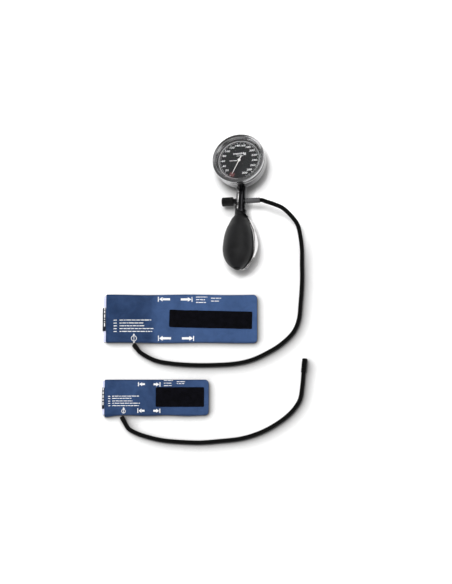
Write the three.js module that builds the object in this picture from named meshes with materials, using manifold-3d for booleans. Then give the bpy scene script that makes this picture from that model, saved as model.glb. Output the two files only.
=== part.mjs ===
// Palm aneroid blood pressure set: a dial gauge on a hand pump, with a larger and a smaller cuff on hoses.
// Millimetres. +X runs along the cuffs, +Y from the cuffs to the gauge and +Z up from where it lies.
// The hand pump has a frame of its own: x across, y up the handle towards the gauge, z out of the dial.
import * as THREE from "three";
import { mergeVertices } from "three/addons/utils/BufferGeometryUtils.js";
import Module from "manifold-3d";

const wasm = await Module();
wasm.setup();

// Clearances between pieces
const SEAT_GAP = 0.3; // between two pieces that touch
const TURN_GAP = 0.4; // round a shaft that turns in a hole

// How the hand pump lies
const PUMP_X = 76;
const PUMP_Y = 151;
const PUMP_PITCH = 8.5; // degrees, the dial end lower
const PUMP_ROLL = 13.5; // degrees, leaning to the left
const PUMP_YAW = 3; // degrees, the bulb end swung to the left

// Gauge case
const CASE_RADIUS = 33.5;
const CASE_WALL = 2.6;
const CASE_BACK = -7;
const CASE_BOWL_RUN = 22.5; // how far the back curves in from the wall to its flat middle
const CASE_BOWL_TOP = 7.5; // the back curves in below this level
const CASE_SHOULDER = 15;
const BOWL_STEPS = 6;
const RIM_STEP = 0.9; // the rim that the bezel fits over is this much smaller than the case
const RIM_TOP = 22.6;
const RIM_WALL = 1.7;
const DIAL_LEDGE = 18.2;
const DIAL_LEDGE_WIDTH = 1.9;

// Bezel, window and dial
const BEZEL_WALL = 2.1;
const BEZEL_FRONT = 27;
const BEZEL_ROUND = 3.6; // radius of its rounded front edge
const BEZEL_LAP = 4.3; // how far its lip reaches in over the rim
const BEZEL_LIP = 1.0;
const WINDOW_EDGE = 1.3;
const WINDOW_DOME = 1.9;
const GASKET_THICKNESS = 0.5;
const GASKET_WIDTH = 1.7;
const DIAL_THICKNESS = 0.8;
const SPACER_WIDTH = 4.8;

// Movement
const POST_RING_INSET = 9; // distance of the posts' circle from the dial ledge
const POST_RADIUS = 2.4;
const POST_TOP = 4.7;
const PLATE_THICKNESS = 1;
const PLATE_MARGIN = 2.2; // metal round the post or pillar
const BRIDGE_HEIGHT = 6; // clear height between the plates
const PILLAR_X = 13;
const PILLAR_Y = 3;
const PILLAR_RADIUS = 2;
const GEAR_MODULE = 0.3;
const PINION_TEETH = 10;
const SECTOR_TEETH_FULL = 80; // teeth of the whole wheel that the sector is cut from
const SECTOR_TEETH = 17;
const SECTOR_REST_TOOTH = 12; // the tooth that meets the pinion at rest
const GEAR_PLAY = 0.12; // added to the distance between the two gears
const GEAR_THICKNESS = 1;
const GEAR_BASE = 8.1;
const ARBOR_RADIUS = 0.5;
const SECTOR_HUB = 2.2;
const CAPSULE_CLEARANCE = 0.6; // between the capsule and the posts
const CAPSULE_RIM = 2; // width of its flat soldered rim
const CAPSULE_DEPTH = 1.5; // of each half
const CAPSULE_SHEET = 0.4;
const CAPSULE_WAVE = 0.35;
const CAPSULE_PITCH = 6;
const BUTTON_RADIUS = 2.2;
const BUTTON_HEIGHT = 1.9;
const SPRING_INNER = 1.9;
const SPRING_TURNS = 3;
const SPRING_SPACING = 1.1;
const SPRING_STRIP = 0.3;
const SPRING_WIDTH = 0.7;
const NEEDLE_LENGTH = 22;
const NEEDLE_TAIL = 7;
const NEEDLE_REST = 203.2; // degrees clockwise from the top of the dial
const NEEDLE_HUB = 2;

// Handle neck
const NECK_RADIUS = 6.2;
const NECK_FLARE = 9.4; // radius where it leaves the case
const NECK_FLARE_FLATTEN = 0.76;
const NECK_FLARE_RUN = 5; // length of the flare outside the case
const NECK_END = 59.1; // distance below the dial centre
const SPIGOT_STEP = 0.6;
const SPIGOT_WALL = 1.9;
const SPIGOT_LENGTH = 5.6;
const AIR_BORE = 1.8;
const PORT_LEVEL = 50.6; // distance of the valve and the hose port below the dial centre
const BOSS_RADIUS = 4.2;
const BOSS_REACH = 6.6; // how far the two bosses reach from the handle axis
const BOSS_BORE = 3;
const BOSS_BORE_END = 3.3;

// Air release valve
const SEAT_BORE = 0.9;
const SEAT_LENGTH = 1.2;
const SEAL_RADIUS = 1.5;
const SEAL_LENGTH = 1.2;
const SPINDLE_RADIUS = 1.5;
const GLAND_RADIUS = 3.6;
const GLAND_LENGTH = 2.8;
const KNOB_RADIUS = 5.9;
const KNOB_LENGTH = 15.1;
const KNOB_FLUTES = 24;
const KNOB_FLUTE_DEPTH = 0.4;
const KNOB_CHAMFER = 0.8;
const KNOB_WALL = 3; // solid end of the knob
const VALVE_TRAVEL = 1.2;

// Hose port and hose
const NIPPLE_FLANGE = 3.5;
const NIPPLE_FLANGE_LENGTH = 0.9;
const NIPPLE_LENGTH = 11;
const NIPPLE_RADIUS = 2.1;
const NIPPLE_BORE = 1;
const NIPPLE_BARBS = 3;
const NIPPLE_BARB_HEIGHT = 0.4;
const SLEEVE_RADIUS = 3.6;
const SLEEVE_LENGTH = 18;
const SLEEVE_BORE = 2.8;
const SLEEVE_RIDGES = 5;
const SLEEVE_RIDGE_DEPTH = 0.3;
const HOSE_RADIUS = 2.8;
const HOSE_SIDES = 8;
const HOSE_STEP = 12;

// Bulb and its valves
const NOZZLE_FLANGE = 6.2;
const NOZZLE_FLANGE_LENGTH = 1.1;
const NOZZLE_RADIUS = 4.4;
const NOZZLE_LENGTH = 15;
const CHECK_DISC_RADIUS = 2.6;
const CHECK_DISC_THICKNESS = 0.8;
const CHECK_POCKET_DEPTH = 3;
const BULB_WALL = 2.2;
const BULB_END_BORE = 4;
const BULB_PROFILE = [
  [0, 7.2],
  [5, 7.1],
  [7.5, 7.4],
  [9.5, 8.6],
  [11.5, 10.1],
  [14.5, 11.7],
  [20, 13.9],
  [27, 16.8],
  [34.5, 18.7],
  [42, 19.8],
  [50, 20.4],
  [57, 20.4],
  [64, 19.2],
  [70.5, 16.7],
  [76, 12.9],
  [80, 8.6],
  [82.3, 5.2],
]; // distance from the mouth, outer radius
const INTAKE_FLANGE = 5;
const INTAKE_FLANGE_LENGTH = 0.8;
const INTAKE_LENGTH = 7;
const INTAKE_BORE = 1.2;
const FLAP_THICKNESS = 0.7;

// Palm spoon
const COLLAR_WALL = 1.3;
const SPOON_SHEET = 1;
const SPOON_CLEARANCE = 1.4; // from the body of the bulb
const SPOON_NECK_CLEARANCE = 0.9; // from the neck of the bulb
const SPOON_LENGTH = 81; // from the collar to the tip
const SPOON_ROOT = 2; // the leaf starts this far inside the collar's wall
const SPOON_BEND = 2.2; // length in which it steps out from the collar to the bulb's neck
const SPOON_SLANT = 15; // length in which its right edge swings round from the front
const SPOON_RIGHT = 100; // degrees from straight back to the leaf's right edge
const SPOON_LEFT = -20; // and to its left edge
const SPOON_LIP = 1; // how far the edges stand out, and how much further where the leaf is widest
const SPOON_LIP_SWELL = 4.2; // on the right; the left edge swells about half as much
const SPOON_LIP_AT = 46; // distance of that place from the collar
const SPOON_LIP_RUN = 14; // and how far the swell spreads along the leaf

// Cuffs
const PANEL_THICKNESS = 1.4;
const FRONT_THICKNESS = 1.1;
const FRONT_COLUMNS = 12; // facets of the swelling front panel
const FRONT_ROWS = 8;
const SEAM_DROP = 0.6;
const SEAM_WIDTH = 4;
const STRIP_THICKNESS = 0.9;
const BLADDER_FILM = 0.9;
const TAB_THICKNESS = 1.2;
const HOSE_PORT_LENGTH = 9;
const HOSE_PORT_RADIUS = 3.6;
const LARGE_CUFF = {
  x: -4.4,
  y: -55.6,
  length: 198,
  width: 64.6,
  corner: 5,
  bladder: { x: -52, y: 1, length: 84, width: 54, crown: 2.4 },
  strip: { x: 38.3, y: -0.6, length: 108.5, width: 22, turn: -1.3 },
  tab: { y: -0.8, width: 4, height: 31 },
  hose: { x: -62.5, heading: -52 },
};
const SMALL_CUFF = {
  x: -36.4,
  y: -161.3,
  length: 135.3,
  width: 47.4,
  corner: 5,
  bladder: { x: -32, y: 1, length: 62, width: 38, crown: 2 },
  strip: { x: 29.6, y: -0.6, length: 62.8, width: 24.6, turn: 0 },
  tab: { y: -0.6, width: 3, height: 28 },
  hose: { x: -45.1, heading: -62 },
};

// Hoses, as points that their centre lines pass through
const CUFF_HOSE = [
  [107, 97.2, 25.9],
  [117, 94, 27.2],
  [128, 89.3, 26],
  [138, 81, 23],
  [148, 69, 17.5],
  [152, 54, 12],
  [154, 37, 7.5],
  [154, 18, 4.3],
  [154, -3, 3.2],
  [152, -33, 3],
  [149, -58, 3],
  [142, -74, 3],
  [126, -90, 3],
  [109, -101, 3],
  [88, -111, 3],
  [67, -116, 3],
  [38, -118, 3],
  [9, -118, 3],
  [-17, -116, 3],
  [-38, -112, 3],
  [-54, -104, 3],
];
const SPARE_HOSE = [
  [-72, -203, 3],
  [-61, -209, 3],
  [-46, -214, 3],
  [-28, -218, 3],
  [-7, -220, 3],
  [20, -221, 3],
  [46, -219, 3],
  [72, -216, 3],
  [93, -210, 3],
  [112, -201, 3],
  [131, -188, 3],
  [142, -177, 3],
  [150, -164, 3],
  [153, -148, 3],
  [155, -128, 3],
];

// Materials
const finish = (color, roughness, metalness) =>
  new THREE.MeshStandardMaterial({ color, roughness, metalness });
const chrome = finish(0xc9ccd1, 0.12, 1);
const steel = finish(0x9a9c9f, 0.35, 1);
const brass = finish(0xb5914a, 0.35, 1);
const blackPlastic = finish(0x1b1c1e, 0.45, 0);
const greyPlastic = finish(0x6d7073, 0.5, 0);
const blackRubber = finish(0x1f2022, 0.7, 0);
const dialBlack = finish(0x35363a, 0.6, 0);
const white = finish(0xf2f2f0, 0.5, 0);
const clear = finish(0xe9f0f2, 0.05, 0);
const blueFabric = finish(0x2f4a72, 0.9, 0);
const hookBlack = finish(0x17181c, 0.95, 0);
const bladderRubber = finish(0x2b2d30, 0.8, 0);

// Geometry to solid and back
function solidOf(geometry) {
  const bare = geometry.index ? geometry.toNonIndexed() : geometry.clone();
  bare.deleteAttribute("normal");
  bare.deleteAttribute("uv");
  const merged = mergeVertices(bare, 1e-4);
  const index = merged.index.array;
  const triangles = [];
  for (let i = 0; i < index.length; i += 3) {
    const [a, b, c] = [index[i], index[i + 1], index[i + 2]];
    if (a !== b && b !== c && a !== c) triangles.push(a, b, c);
  }
  return new wasm.Manifold(
    new wasm.Mesh({
      numProp: 3,
      vertProperties: merged.attributes.position.array,
      triVerts: new Uint32Array(triangles),
    }),
  );
}

function geometryOf(solid) {
  const mesh = solid.getMesh();
  return new THREE.BufferGeometry()
    .setAttribute(
      "position",
      new THREE.BufferAttribute(mesh.vertProperties, 3),
    )
    .setIndex(new THREE.BufferAttribute(mesh.triVerts, 1));
}

function joined(...geometries) {
  return geometryOf(
    geometries.map(solidOf).reduce((all, one) => all.add(one)),
  );
}

function cut(geometry, ...tools) {
  return geometryOf(
    tools.map(solidOf).reduce((left, tool) => left.subtract(tool), solidOf(geometry)),
  );
}

function shared(first, second) {
  return geometryOf(solidOf(first).intersect(solidOf(second)));
}

// A closed outline of [radius, height] points turned about the z axis
function turnedZ(outline, segments = 28) {
  const area = outline.reduce((sum, [r, h], i) => {
    const [nextR, nextH] = outline[(i + 1) % outline.length];
    return sum + r * nextH - nextR * h;
  }, 0);
  const ordered = area > 0 ? outline : [...outline].reverse();
  const points = ordered.map(([r, h]) => new THREE.Vector2(r, h));
  const onAxis = ordered.findIndex(([r]) => r === 0);
  if (onAxis < 0) {
    points.push(points[0].clone());
  } else {
    // the outline starts and ends on the axis, with the axis edge left out
    const start = ordered.findIndex(
      ([r], i) => r === 0 && ordered[(i + 1) % ordered.length][0] > 0,
    );
    points.push(...points.splice(0, start));
  }
  return new THREE.LatheGeometry(points, segments).rotateX(Math.PI / 2);
}

// The same outline turned about the y axis, its heights running along -y
function turnedY(outline, segments) {
  return turnedZ(outline, segments).rotateX(Math.PI / 2);
}

// The same outline turned about the x axis at the level of the ports
function turnedX(outline, segments) {
  return turnedZ(outline, segments)
    .rotateY(Math.PI / 2)
    .translate(0, -PORT_LEVEL, 0);
}

function tubeOutline(inner, outer, start, end) {
  return [
    [inner, start],
    [outer, start],
    [outer, end],
    [inner, end],
  ];
}

// An arc of an outline about [r, h], from one angle to another, in degrees
function arc([r, h], radius, from, to, steps) {
  return Array.from({ length: steps + 1 }, (_, i) => {
    const angle = THREE.MathUtils.degToRad(from + ((to - from) * i) / steps);
    return [r + radius * Math.cos(angle), h + radius * Math.sin(angle)];
  });
}

function slab(shape, base, thickness, curveSegments = 8) {
  return new THREE.ExtrudeGeometry(shape, {
    depth: thickness,
    bevelEnabled: false,
    curveSegments,
  }).translate(0, 0, base);
}

// The outline that a band stretched round equal discs would take
function bandShape(centres, radius, holes) {
  const middle = centres.reduce(([x, y], [a, b]) => [x + a, y + b], [0, 0]);
  const turn = ([x, y]) =>
    Math.atan2(y - middle[1] / centres.length, x - middle[0] / centres.length);
  const round = [...centres].sort((a, b) => turn(a) - turn(b));
  const shape = new THREE.Shape();
  round.forEach(([x, y], i) => {
    const before = round[(i + round.length - 1) % round.length];
    const after = round[(i + 1) % round.length];
    const from = Math.atan2(y - before[1], x - before[0]) - Math.PI / 2;
    let to = Math.atan2(after[1] - y, after[0] - x) - Math.PI / 2;
    if (to < from) to += 2 * Math.PI;
    shape.absarc(x, y, radius, from, to, false);
  });
  shape.closePath();
  for (const [x, y, r] of holes) {
    shape.holes.push(new THREE.Path().absarc(x, y, r, 0, 2 * Math.PI, true));
  }
  return shape;
}

// Heights of the stacked gauge pieces, and radii that follow from the case
const rimRadius = CASE_RADIUS - RIM_STEP;
const caseInner = rimRadius - RIM_WALL;
const ledgeInner = caseInner - DIAL_LEDGE_WIDTH;
const insideRadius = caseInner - SEAT_GAP;
const bezelRadius = rimRadius + SEAT_GAP + BEZEL_WALL;
const bezelOpening = rimRadius - BEZEL_LAP;
const dialOpening = insideRadius - SPACER_WIDTH;
const floorTop = CASE_BACK + CASE_WALL;
const dialBase = DIAL_LEDGE + SEAT_GAP;
const dialTop = dialBase + DIAL_THICKNESS;
const gasketBase = RIM_TOP + 0.1;
const windowBase = gasketBase + GASKET_THICKNESS + 0.2;
const windowTop = windowBase + WINDOW_EDGE;
const lipBase = windowTop + SEAT_GAP;
const plateBase = POST_TOP + SEAT_GAP;
const plateTop = plateBase + PLATE_THICKNESS;
const bridgeBase = plateTop + BRIDGE_HEIGHT;
const bridgeTop = bridgeBase + PLATE_THICKNESS;
const backRadius = CASE_RADIUS - CASE_BOWL_RUN;
const postRing = ledgeInner - POST_RING_INSET;
const posts = [30, 150, 270].map((angle) => {
  const turn = THREE.MathUtils.degToRad(angle);
  return [postRing * Math.cos(turn), postRing * Math.sin(turn)];
});
const capsuleRadius = postRing - POST_RADIUS - CAPSULE_CLEARANCE;
const gearDistance = (GEAR_MODULE * (PINION_TEETH + SECTOR_TEETH_FULL)) / 2 + GEAR_PLAY;
const arborHole = ARBOR_RADIUS + TURN_GAP;

// A quarter of an ellipse from the flat back out to the wall, as [radius, height] points
function bowl(wallRadius, floor, steps) {
  return Array.from({ length: steps + 1 }, (_, i) => {
    const turn = (i / steps) * (Math.PI / 2);
    return [
      backRadius + (wallRadius - backRadius) * Math.sin(turn),
      CASE_BOWL_TOP - (CASE_BOWL_TOP - floor) * Math.cos(turn),
    ];
  });
}

// Radii of the handle's stepped end
const spigotRadius = NECK_RADIUS - SPIGOT_STEP;
const spigotEnd = NECK_END + SPIGOT_LENGTH;
const nozzleSeat = spigotRadius - SPIGOT_WALL;

function gaugeHousing() {
  const shell = turnedZ(
    [
      [0, CASE_BACK],
      ...bowl(CASE_RADIUS, CASE_BACK, BOWL_STEPS),
      [CASE_RADIUS, CASE_SHOULDER],
      [rimRadius, CASE_SHOULDER],
      [rimRadius, RIM_TOP],
      [0, RIM_TOP],
    ],
    36,
  );
  const hollow = turnedZ(
    [
      [0, floorTop],
      ...bowl(ledgeInner, floorTop, BOWL_STEPS - 1),
      [ledgeInner, DIAL_LEDGE],
      [caseInner, DIAL_LEDGE],
      [caseInner, RIM_TOP + 1],
      [0, RIM_TOP + 1],
    ],
    24,
  );
  const flareSteps = 4;
  const flareEnd = CASE_RADIUS + NECK_FLARE_RUN;
  const flare = Array.from({ length: flareSteps + 1 }, (_, i) => {
    const share = i / flareSteps;
    return [
      NECK_RADIUS + (NECK_FLARE - NECK_RADIUS) * (1 - share) ** 2,
      THREE.MathUtils.lerp(CASE_RADIUS - 2 * NECK_FLARE_RUN, flareEnd, share),
    ];
  });
  const neck = turnedY(
    [[0, backRadius], [NECK_FLARE, backRadius], ...flare, [0, flareEnd]],
    20,
  ).scale(1, 1, NECK_FLARE_FLATTEN);
  const stem = turnedY(
    [
      [0, backRadius],
      [NECK_RADIUS, backRadius],
      [NECK_RADIUS, NECK_END],
      [spigotRadius, NECK_END],
      [spigotRadius, spigotEnd],
      [0, spigotEnd],
    ],
    20,
  );
  const bosses = turnedX(tubeOutline(0, BOSS_RADIUS, -BOSS_REACH, BOSS_REACH), 16);
  const standing = posts.map(([x, y]) =>
    turnedZ(tubeOutline(0, POST_RADIUS, floorTop - 0.5, POST_TOP), 10).translate(x, y, 0),
  );
  const airWayStart = postRing + POST_RADIUS + SEAT_GAP;
  const airWay = turnedY(tubeOutline(0, AIR_BORE, airWayStart, spigotEnd + 1), 12);
  const nozzleBore = turnedY(
    tubeOutline(0, nozzleSeat, PORT_LEVEL + BOSS_BORE + 0.6, spigotEnd + 1),
    20,
  );
  const crossWay = turnedX(tubeOutline(0, SEAT_BORE, -BOSS_REACH, BOSS_REACH), 12);
  const pockets = [-1, 1].map((side) =>
    turnedX(tubeOutline(0, BOSS_BORE, side * BOSS_BORE_END, side * (BOSS_REACH + 1)), 16),
  );
  return cut(
    joined(cut(joined(shell, neck, stem, bosses), hollow), ...standing),
    airWay,
    nozzleBore,
    crossWay,
    ...pockets,
  );
}

function bezelRing() {
  const inner = rimRadius + SEAT_GAP;
  const windowWell = insideRadius + SEAT_GAP + 0.1;
  const crown = [bezelRadius - BEZEL_ROUND, BEZEL_FRONT - BEZEL_ROUND];
  return turnedZ(
    [
      [inner, CASE_SHOULDER + SEAT_GAP],
      [bezelRadius - 0.5, CASE_SHOULDER + SEAT_GAP],
      [bezelRadius, CASE_SHOULDER + SEAT_GAP + 0.5],
      ...arc(crown, BEZEL_ROUND, 0, 100, 5),
      [bezelOpening + 0.9, lipBase + BEZEL_LIP + 0.5],
      [bezelOpening, lipBase + BEZEL_LIP],
      [bezelOpening, lipBase],
      [windowWell, lipBase],
      [windowWell, RIM_TOP + SEAT_GAP],
      [inner, RIM_TOP + SEAT_GAP],
    ],
    36,
  );
}

function gaugeWindow() {
  const domeSteps = 3;
  const dome = Array.from({ length: domeSteps + 1 }, (_, i) => {
    const share = i / domeSteps;
    return [insideRadius * share, WINDOW_DOME * (1 - share ** 2)];
  });
  return turnedZ(
    [
      ...dome.map(([r, rise]) => [r, windowBase + rise]),
      ...dome.toReversed().map(([r, rise]) => [r, windowTop + rise]),
    ],
    32,
  );
}

function windowGasket() {
  return turnedZ(
    tubeOutline(
      insideRadius - GASKET_WIDTH,
      insideRadius,
      gasketBase,
      gasketBase + GASKET_THICKNESS,
    ),
  );
}

function dialSpacerRing() {
  return turnedZ([
    [dialOpening, dialTop + SEAT_GAP],
    [insideRadius, dialTop + SEAT_GAP],
    [insideRadius, RIM_TOP - 0.2],
    [bezelOpening + 0.2, RIM_TOP - 0.2],
    [dialOpening, dialTop + SEAT_GAP + 0.5],
  ]);
}

function dialPlate() {
  return turnedZ(tubeOutline(arborHole + 0.6, insideRadius, dialBase, dialTop));
}

function movementBasePlate() {
  const holes = [
    [0, 0, arborHole],
    [0, -gearDistance, arborHole],
  ];
  return slab(bandShape(posts, POST_RADIUS + PLATE_MARGIN, holes), plateBase, PLATE_THICKNESS);
}

function movementBridge() {
  const feet = [
    [-PILLAR_X, PILLAR_Y],
    [PILLAR_X, PILLAR_Y],
  ];
  const holes = [
    [0, 0, arborHole],
    [0, -gearDistance, arborHole],
  ];
  const plate = slab(
    bandShape([...feet, [0, -gearDistance]], PILLAR_RADIUS + PLATE_MARGIN, holes),
    bridgeBase,
    PLATE_THICKNESS,
  );
  const pillars = feet.map(([x, y]) =>
    turnedZ(
      tubeOutline(0, PILLAR_RADIUS, plateTop + SEAT_GAP, bridgeBase + 0.5),
      10,
    ).translate(x, y, 0),
  );
  return joined(plate, ...pillars);
}

// One corrugated half of the pressure capsule, its rim at the given height
function capsuleHalf(rim, side) {
  const domed = capsuleRadius - CAPSULE_RIM;
  const middle = (r) => {
    const wave = CAPSULE_WAVE * Math.cos((2 * Math.PI * r) / CAPSULE_PITCH);
    return rim + side * (CAPSULE_DEPTH + wave);
  };
  const count = Math.floor((domed - 1) / (CAPSULE_PITCH / 2));
  const radii = Array.from({ length: count + 1 }, (_, i) => (i * CAPSULE_PITCH) / 2);
  const line = [
    ...radii.map((r) => [r, middle(r)]),
    [domed, rim],
    [capsuleRadius, rim],
  ];
  const half = CAPSULE_SHEET / 2;
  return turnedZ(
    [
      ...line.map(([r, h]) => [r, h - half]),
      ...line.toReversed().map(([r, h]) => [r, h + half]),
    ],
    18,
  );
}

const capsuleReach = CAPSULE_DEPTH + CAPSULE_WAVE + CAPSULE_SHEET / 2; // from a half's rim to its top
const capsuleRim = floorTop + SEAT_GAP + capsuleReach;
const upperRim = capsuleRim + CAPSULE_SHEET + SEAT_GAP;
const buttonBase = upperRim + capsuleReach + SEAT_GAP;

function capsuleButton() {
  return turnedZ(
    [
      [0, buttonBase],
      [BUTTON_RADIUS + 0.8, buttonBase],
      [BUTTON_RADIUS + 0.8, buttonBase + 0.5],
      [BUTTON_RADIUS, buttonBase + 0.5],
      [BUTTON_RADIUS, buttonBase + BUTTON_HEIGHT - 0.5],
      [BUTTON_RADIUS - 0.8, buttonBase + BUTTON_HEIGHT],
      [0, buttonBase + BUTTON_HEIGHT],
    ],
    20,
  );
}

// Points of a run of gear teeth about the origin, from the first tooth's angle on
function teeth(fullCount, shown, firstAngle) {
  const pitchRadius = (GEAR_MODULE * fullCount) / 2;
  const step = (2 * Math.PI) / fullCount;
  const corners = [
    [-0.36, -1.25],
    [-0.14, 0.9],
    [0.14, 0.9],
    [0.36, -1.25],
  ]; // share of the tooth step, height in modules
  return Array.from({ length: shown }, (_, i) =>
    corners.map(([across, height]) => {
      const angle = firstAngle + (i + across * 0.82) * step;
      const r = pitchRadius + height * GEAR_MODULE;
      return new THREE.Vector2(r * Math.cos(angle), r * Math.sin(angle));
    }),
  ).flat();
}

function pinionArbor() {
  const step = (2 * Math.PI) / PINION_TEETH;
  const wheel = slab(
    new THREE.Shape(teeth(PINION_TEETH, PINION_TEETH, -Math.PI / 2 + step / 2)),
    GEAR_BASE,
    GEAR_THICKNESS,
  );
  const top = dialTop + 2.6;
  const shaft = turnedZ(
    [
      [0, plateBase + 0.1],
      [ARBOR_RADIUS, plateBase + 0.1],
      [ARBOR_RADIUS, GEAR_BASE + GEAR_THICKNESS + 0.4],
      [SPRING_INNER - 0.8, GEAR_BASE + GEAR_THICKNESS + 0.4],
      [SPRING_INNER - 0.8, bridgeBase - SEAT_GAP],
      [ARBOR_RADIUS, bridgeBase - SEAT_GAP],
      [ARBOR_RADIUS, top],
      [0, top],
    ],
    12,
  );
  return joined(wheel, shaft);
}

function sectorGear() {
  const step = (2 * Math.PI) / SECTOR_TEETH_FULL;
  const sweep = (SECTOR_TEETH - 1) * step;
  const first = Math.PI / 2 - SECTOR_REST_TOOTH * step;
  const points = teeth(SECTOR_TEETH_FULL, SECTOR_TEETH, first);
  const last = first + sweep;
  const hubBack = (first + last) / 2 + Math.PI;
  const hub = Array.from({ length: 9 }, (_, i) => {
    const angle = hubBack - Math.PI / 2 + (i * Math.PI) / 8;
    return new THREE.Vector2(SECTOR_HUB * Math.cos(angle), SECTOR_HUB * Math.sin(angle));
  });
  const plate = slab(new THREE.Shape([...points, ...hub]), GEAR_BASE, GEAR_THICKNESS);
  const shaft = turnedZ(
    tubeOutline(0, ARBOR_RADIUS, plateBase + 0.1, bridgeTop - 0.1),
    12,
  );
  return joined(plate, shaft).translate(0, -gearDistance, 0);
}

function hairspring() {
  const steps = SPRING_TURNS * 14;
  const side = (offset) =>
    Array.from({ length: steps + 1 }, (_, i) => {
      const turn = (i / steps) * SPRING_TURNS;
      const r = SPRING_INNER + turn * SPRING_SPACING + offset;
      const angle = turn * 2 * Math.PI;
      return new THREE.Vector2(r * Math.cos(angle), r * Math.sin(angle));
    });
  const outline = [...side(SPRING_STRIP / 2), ...side(-SPRING_STRIP / 2).reverse()];
  const base = GEAR_BASE + GEAR_THICKNESS + 0.8;
  const strip = slab(new THREE.Shape(outline), base, SPRING_WIDTH);
  const reach = SPRING_INNER + SPRING_TURNS * SPRING_SPACING;
  const stud = turnedZ(
    tubeOutline(0, 0.5, base, bridgeBase - SEAT_GAP),
    8,
  ).translate(reach, 0, 0);
  return joined(strip, stud);
}

function needle() {
  const base = dialTop + 0.9;
  const blade = new THREE.Shape([
    new THREE.Vector2(-0.9, -NEEDLE_TAIL),
    new THREE.Vector2(0.9, -NEEDLE_TAIL),
    new THREE.Vector2(0.75, 0),
    new THREE.Vector2(0.2, NEEDLE_LENGTH),
    new THREE.Vector2(-0.2, NEEDLE_LENGTH),
    new THREE.Vector2(-0.75, 0),
  ]);
  const hub = turnedZ(tubeOutline(0, NEEDLE_HUB, base - 0.4, base + 1.3), 16);
  const bore = turnedZ(tubeOutline(0, ARBOR_RADIUS + 0.15, base - 1, base + 3), 12);
  return cut(joined(slab(blade, base, 0.6), hub), bore).rotateZ(
    -THREE.MathUtils.degToRad(NEEDLE_REST),
  );
}

// Air release valve, on the left of the handle
const seatFace = -(BOSS_BORE_END + SEAT_GAP + SEAT_LENGTH);
const sealEnd = seatFace - SEAT_GAP - SEAL_LENGTH;
const glandFace = -(BOSS_REACH + SEAT_GAP);
const glandEnd = glandFace - GLAND_LENGTH;
const knobFace = glandEnd - SEAT_GAP;
const knobEnd = knobFace - KNOB_LENGTH;
const pocketFit = BOSS_BORE - SEAT_GAP;

function valveSeatInsert() {
  return turnedX(tubeOutline(SEAT_BORE, pocketFit, seatFace, -(BOSS_BORE_END + SEAT_GAP)), 16);
}

function valveTipSeal() {
  return turnedX(
    [
      [0, sealEnd],
      [SEAL_RADIUS, sealEnd],
      [SEAL_RADIUS, sealEnd + SEAL_LENGTH * 0.5],
      [SEAL_RADIUS * 0.4, sealEnd + SEAL_LENGTH],
      [0, sealEnd + SEAL_LENGTH],
    ],
    16,
  );
}

function valveSpindle() {
  return turnedX(
    tubeOutline(0, SPINDLE_RADIUS, knobEnd + KNOB_WALL + SEAT_GAP, sealEnd - SEAT_GAP),
    14,
  );
}

function valveGland() {
  const bore = SPINDLE_RADIUS + SEAT_GAP;
  const stubEnd = sealEnd - VALVE_TRAVEL - SEAT_GAP;
  const outline = [
    [bore, glandEnd],
    [GLAND_RADIUS - 0.4, glandEnd],
    [GLAND_RADIUS, glandEnd + 0.4],
    [GLAND_RADIUS, glandFace],
  ];
  const stub = [
    [pocketFit, glandFace],
    [pocketFit, stubEnd],
    [bore, stubEnd],
  ];
  // the stub inside the boss is left out where the seal's travel leaves no room for it
  outline.push(...(stubEnd > glandFace ? stub : [[bore, glandFace]]));
  return turnedX(outline, 20);
}

function valveKnob() {
  const outline = Array.from({ length: KNOB_FLUTES * 2 }, (_, i) => {
    const r = KNOB_RADIUS - (i % 2) * KNOB_FLUTE_DEPTH;
    const angle = (i * Math.PI) / KNOB_FLUTES;
    return new THREE.Vector2(r * Math.cos(angle), r * Math.sin(angle));
  });
  const fluted = slab(new THREE.Shape(outline), knobEnd, KNOB_LENGTH)
    .rotateY(Math.PI / 2)
    .translate(0, -PORT_LEVEL, 0);
  const round = turnedX(
    [
      [0, knobEnd],
      [KNOB_RADIUS - KNOB_CHAMFER, knobEnd],
      [KNOB_RADIUS + 0.1, knobEnd + KNOB_CHAMFER],
      [KNOB_RADIUS + 0.1, knobFace - KNOB_CHAMFER],
      [KNOB_RADIUS - KNOB_CHAMFER, knobFace],
      [0, knobFace],
    ],
    24,
  );
  const bore = turnedX(
    tubeOutline(0, SPINDLE_RADIUS + SEAT_GAP, knobEnd + KNOB_WALL, knobFace + 1),
    14,
  );
  return cut(shared(fluted, round), bore);
}

// Hose port, on the right of the handle
const nippleFace = BOSS_REACH + SEAT_GAP;
const sleeveStart = nippleFace + NIPPLE_FLANGE_LENGTH + SEAT_GAP;
const sleeveEnd = sleeveStart + SLEEVE_LENGTH;

function hoseNipple() {
  const flangeEnd = nippleFace + NIPPLE_FLANGE_LENGTH;
  const barbStep = NIPPLE_LENGTH / (NIPPLE_BARBS + 1);
  const barbs = Array.from({ length: NIPPLE_BARBS }, (_, i) => {
    const start = flangeEnd + (i + 0.6) * barbStep;
    return [
      [NIPPLE_RADIUS, start],
      [NIPPLE_RADIUS + NIPPLE_BARB_HEIGHT, start],
      [NIPPLE_RADIUS, start + barbStep * 0.8],
    ];
  }).flat();
  return turnedX(
    [
      [NIPPLE_BORE, BOSS_BORE_END + SEAT_GAP],
      [pocketFit, BOSS_BORE_END + SEAT_GAP],
      [pocketFit, nippleFace],
      [NIPPLE_FLANGE, nippleFace],
      [NIPPLE_FLANGE, flangeEnd],
      [NIPPLE_RADIUS, flangeEnd],
      ...barbs,
      [NIPPLE_RADIUS, flangeEnd + NIPPLE_LENGTH],
      [NIPPLE_BORE, flangeEnd + NIPPLE_LENGTH],
    ],
    12,
  );
}

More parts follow.
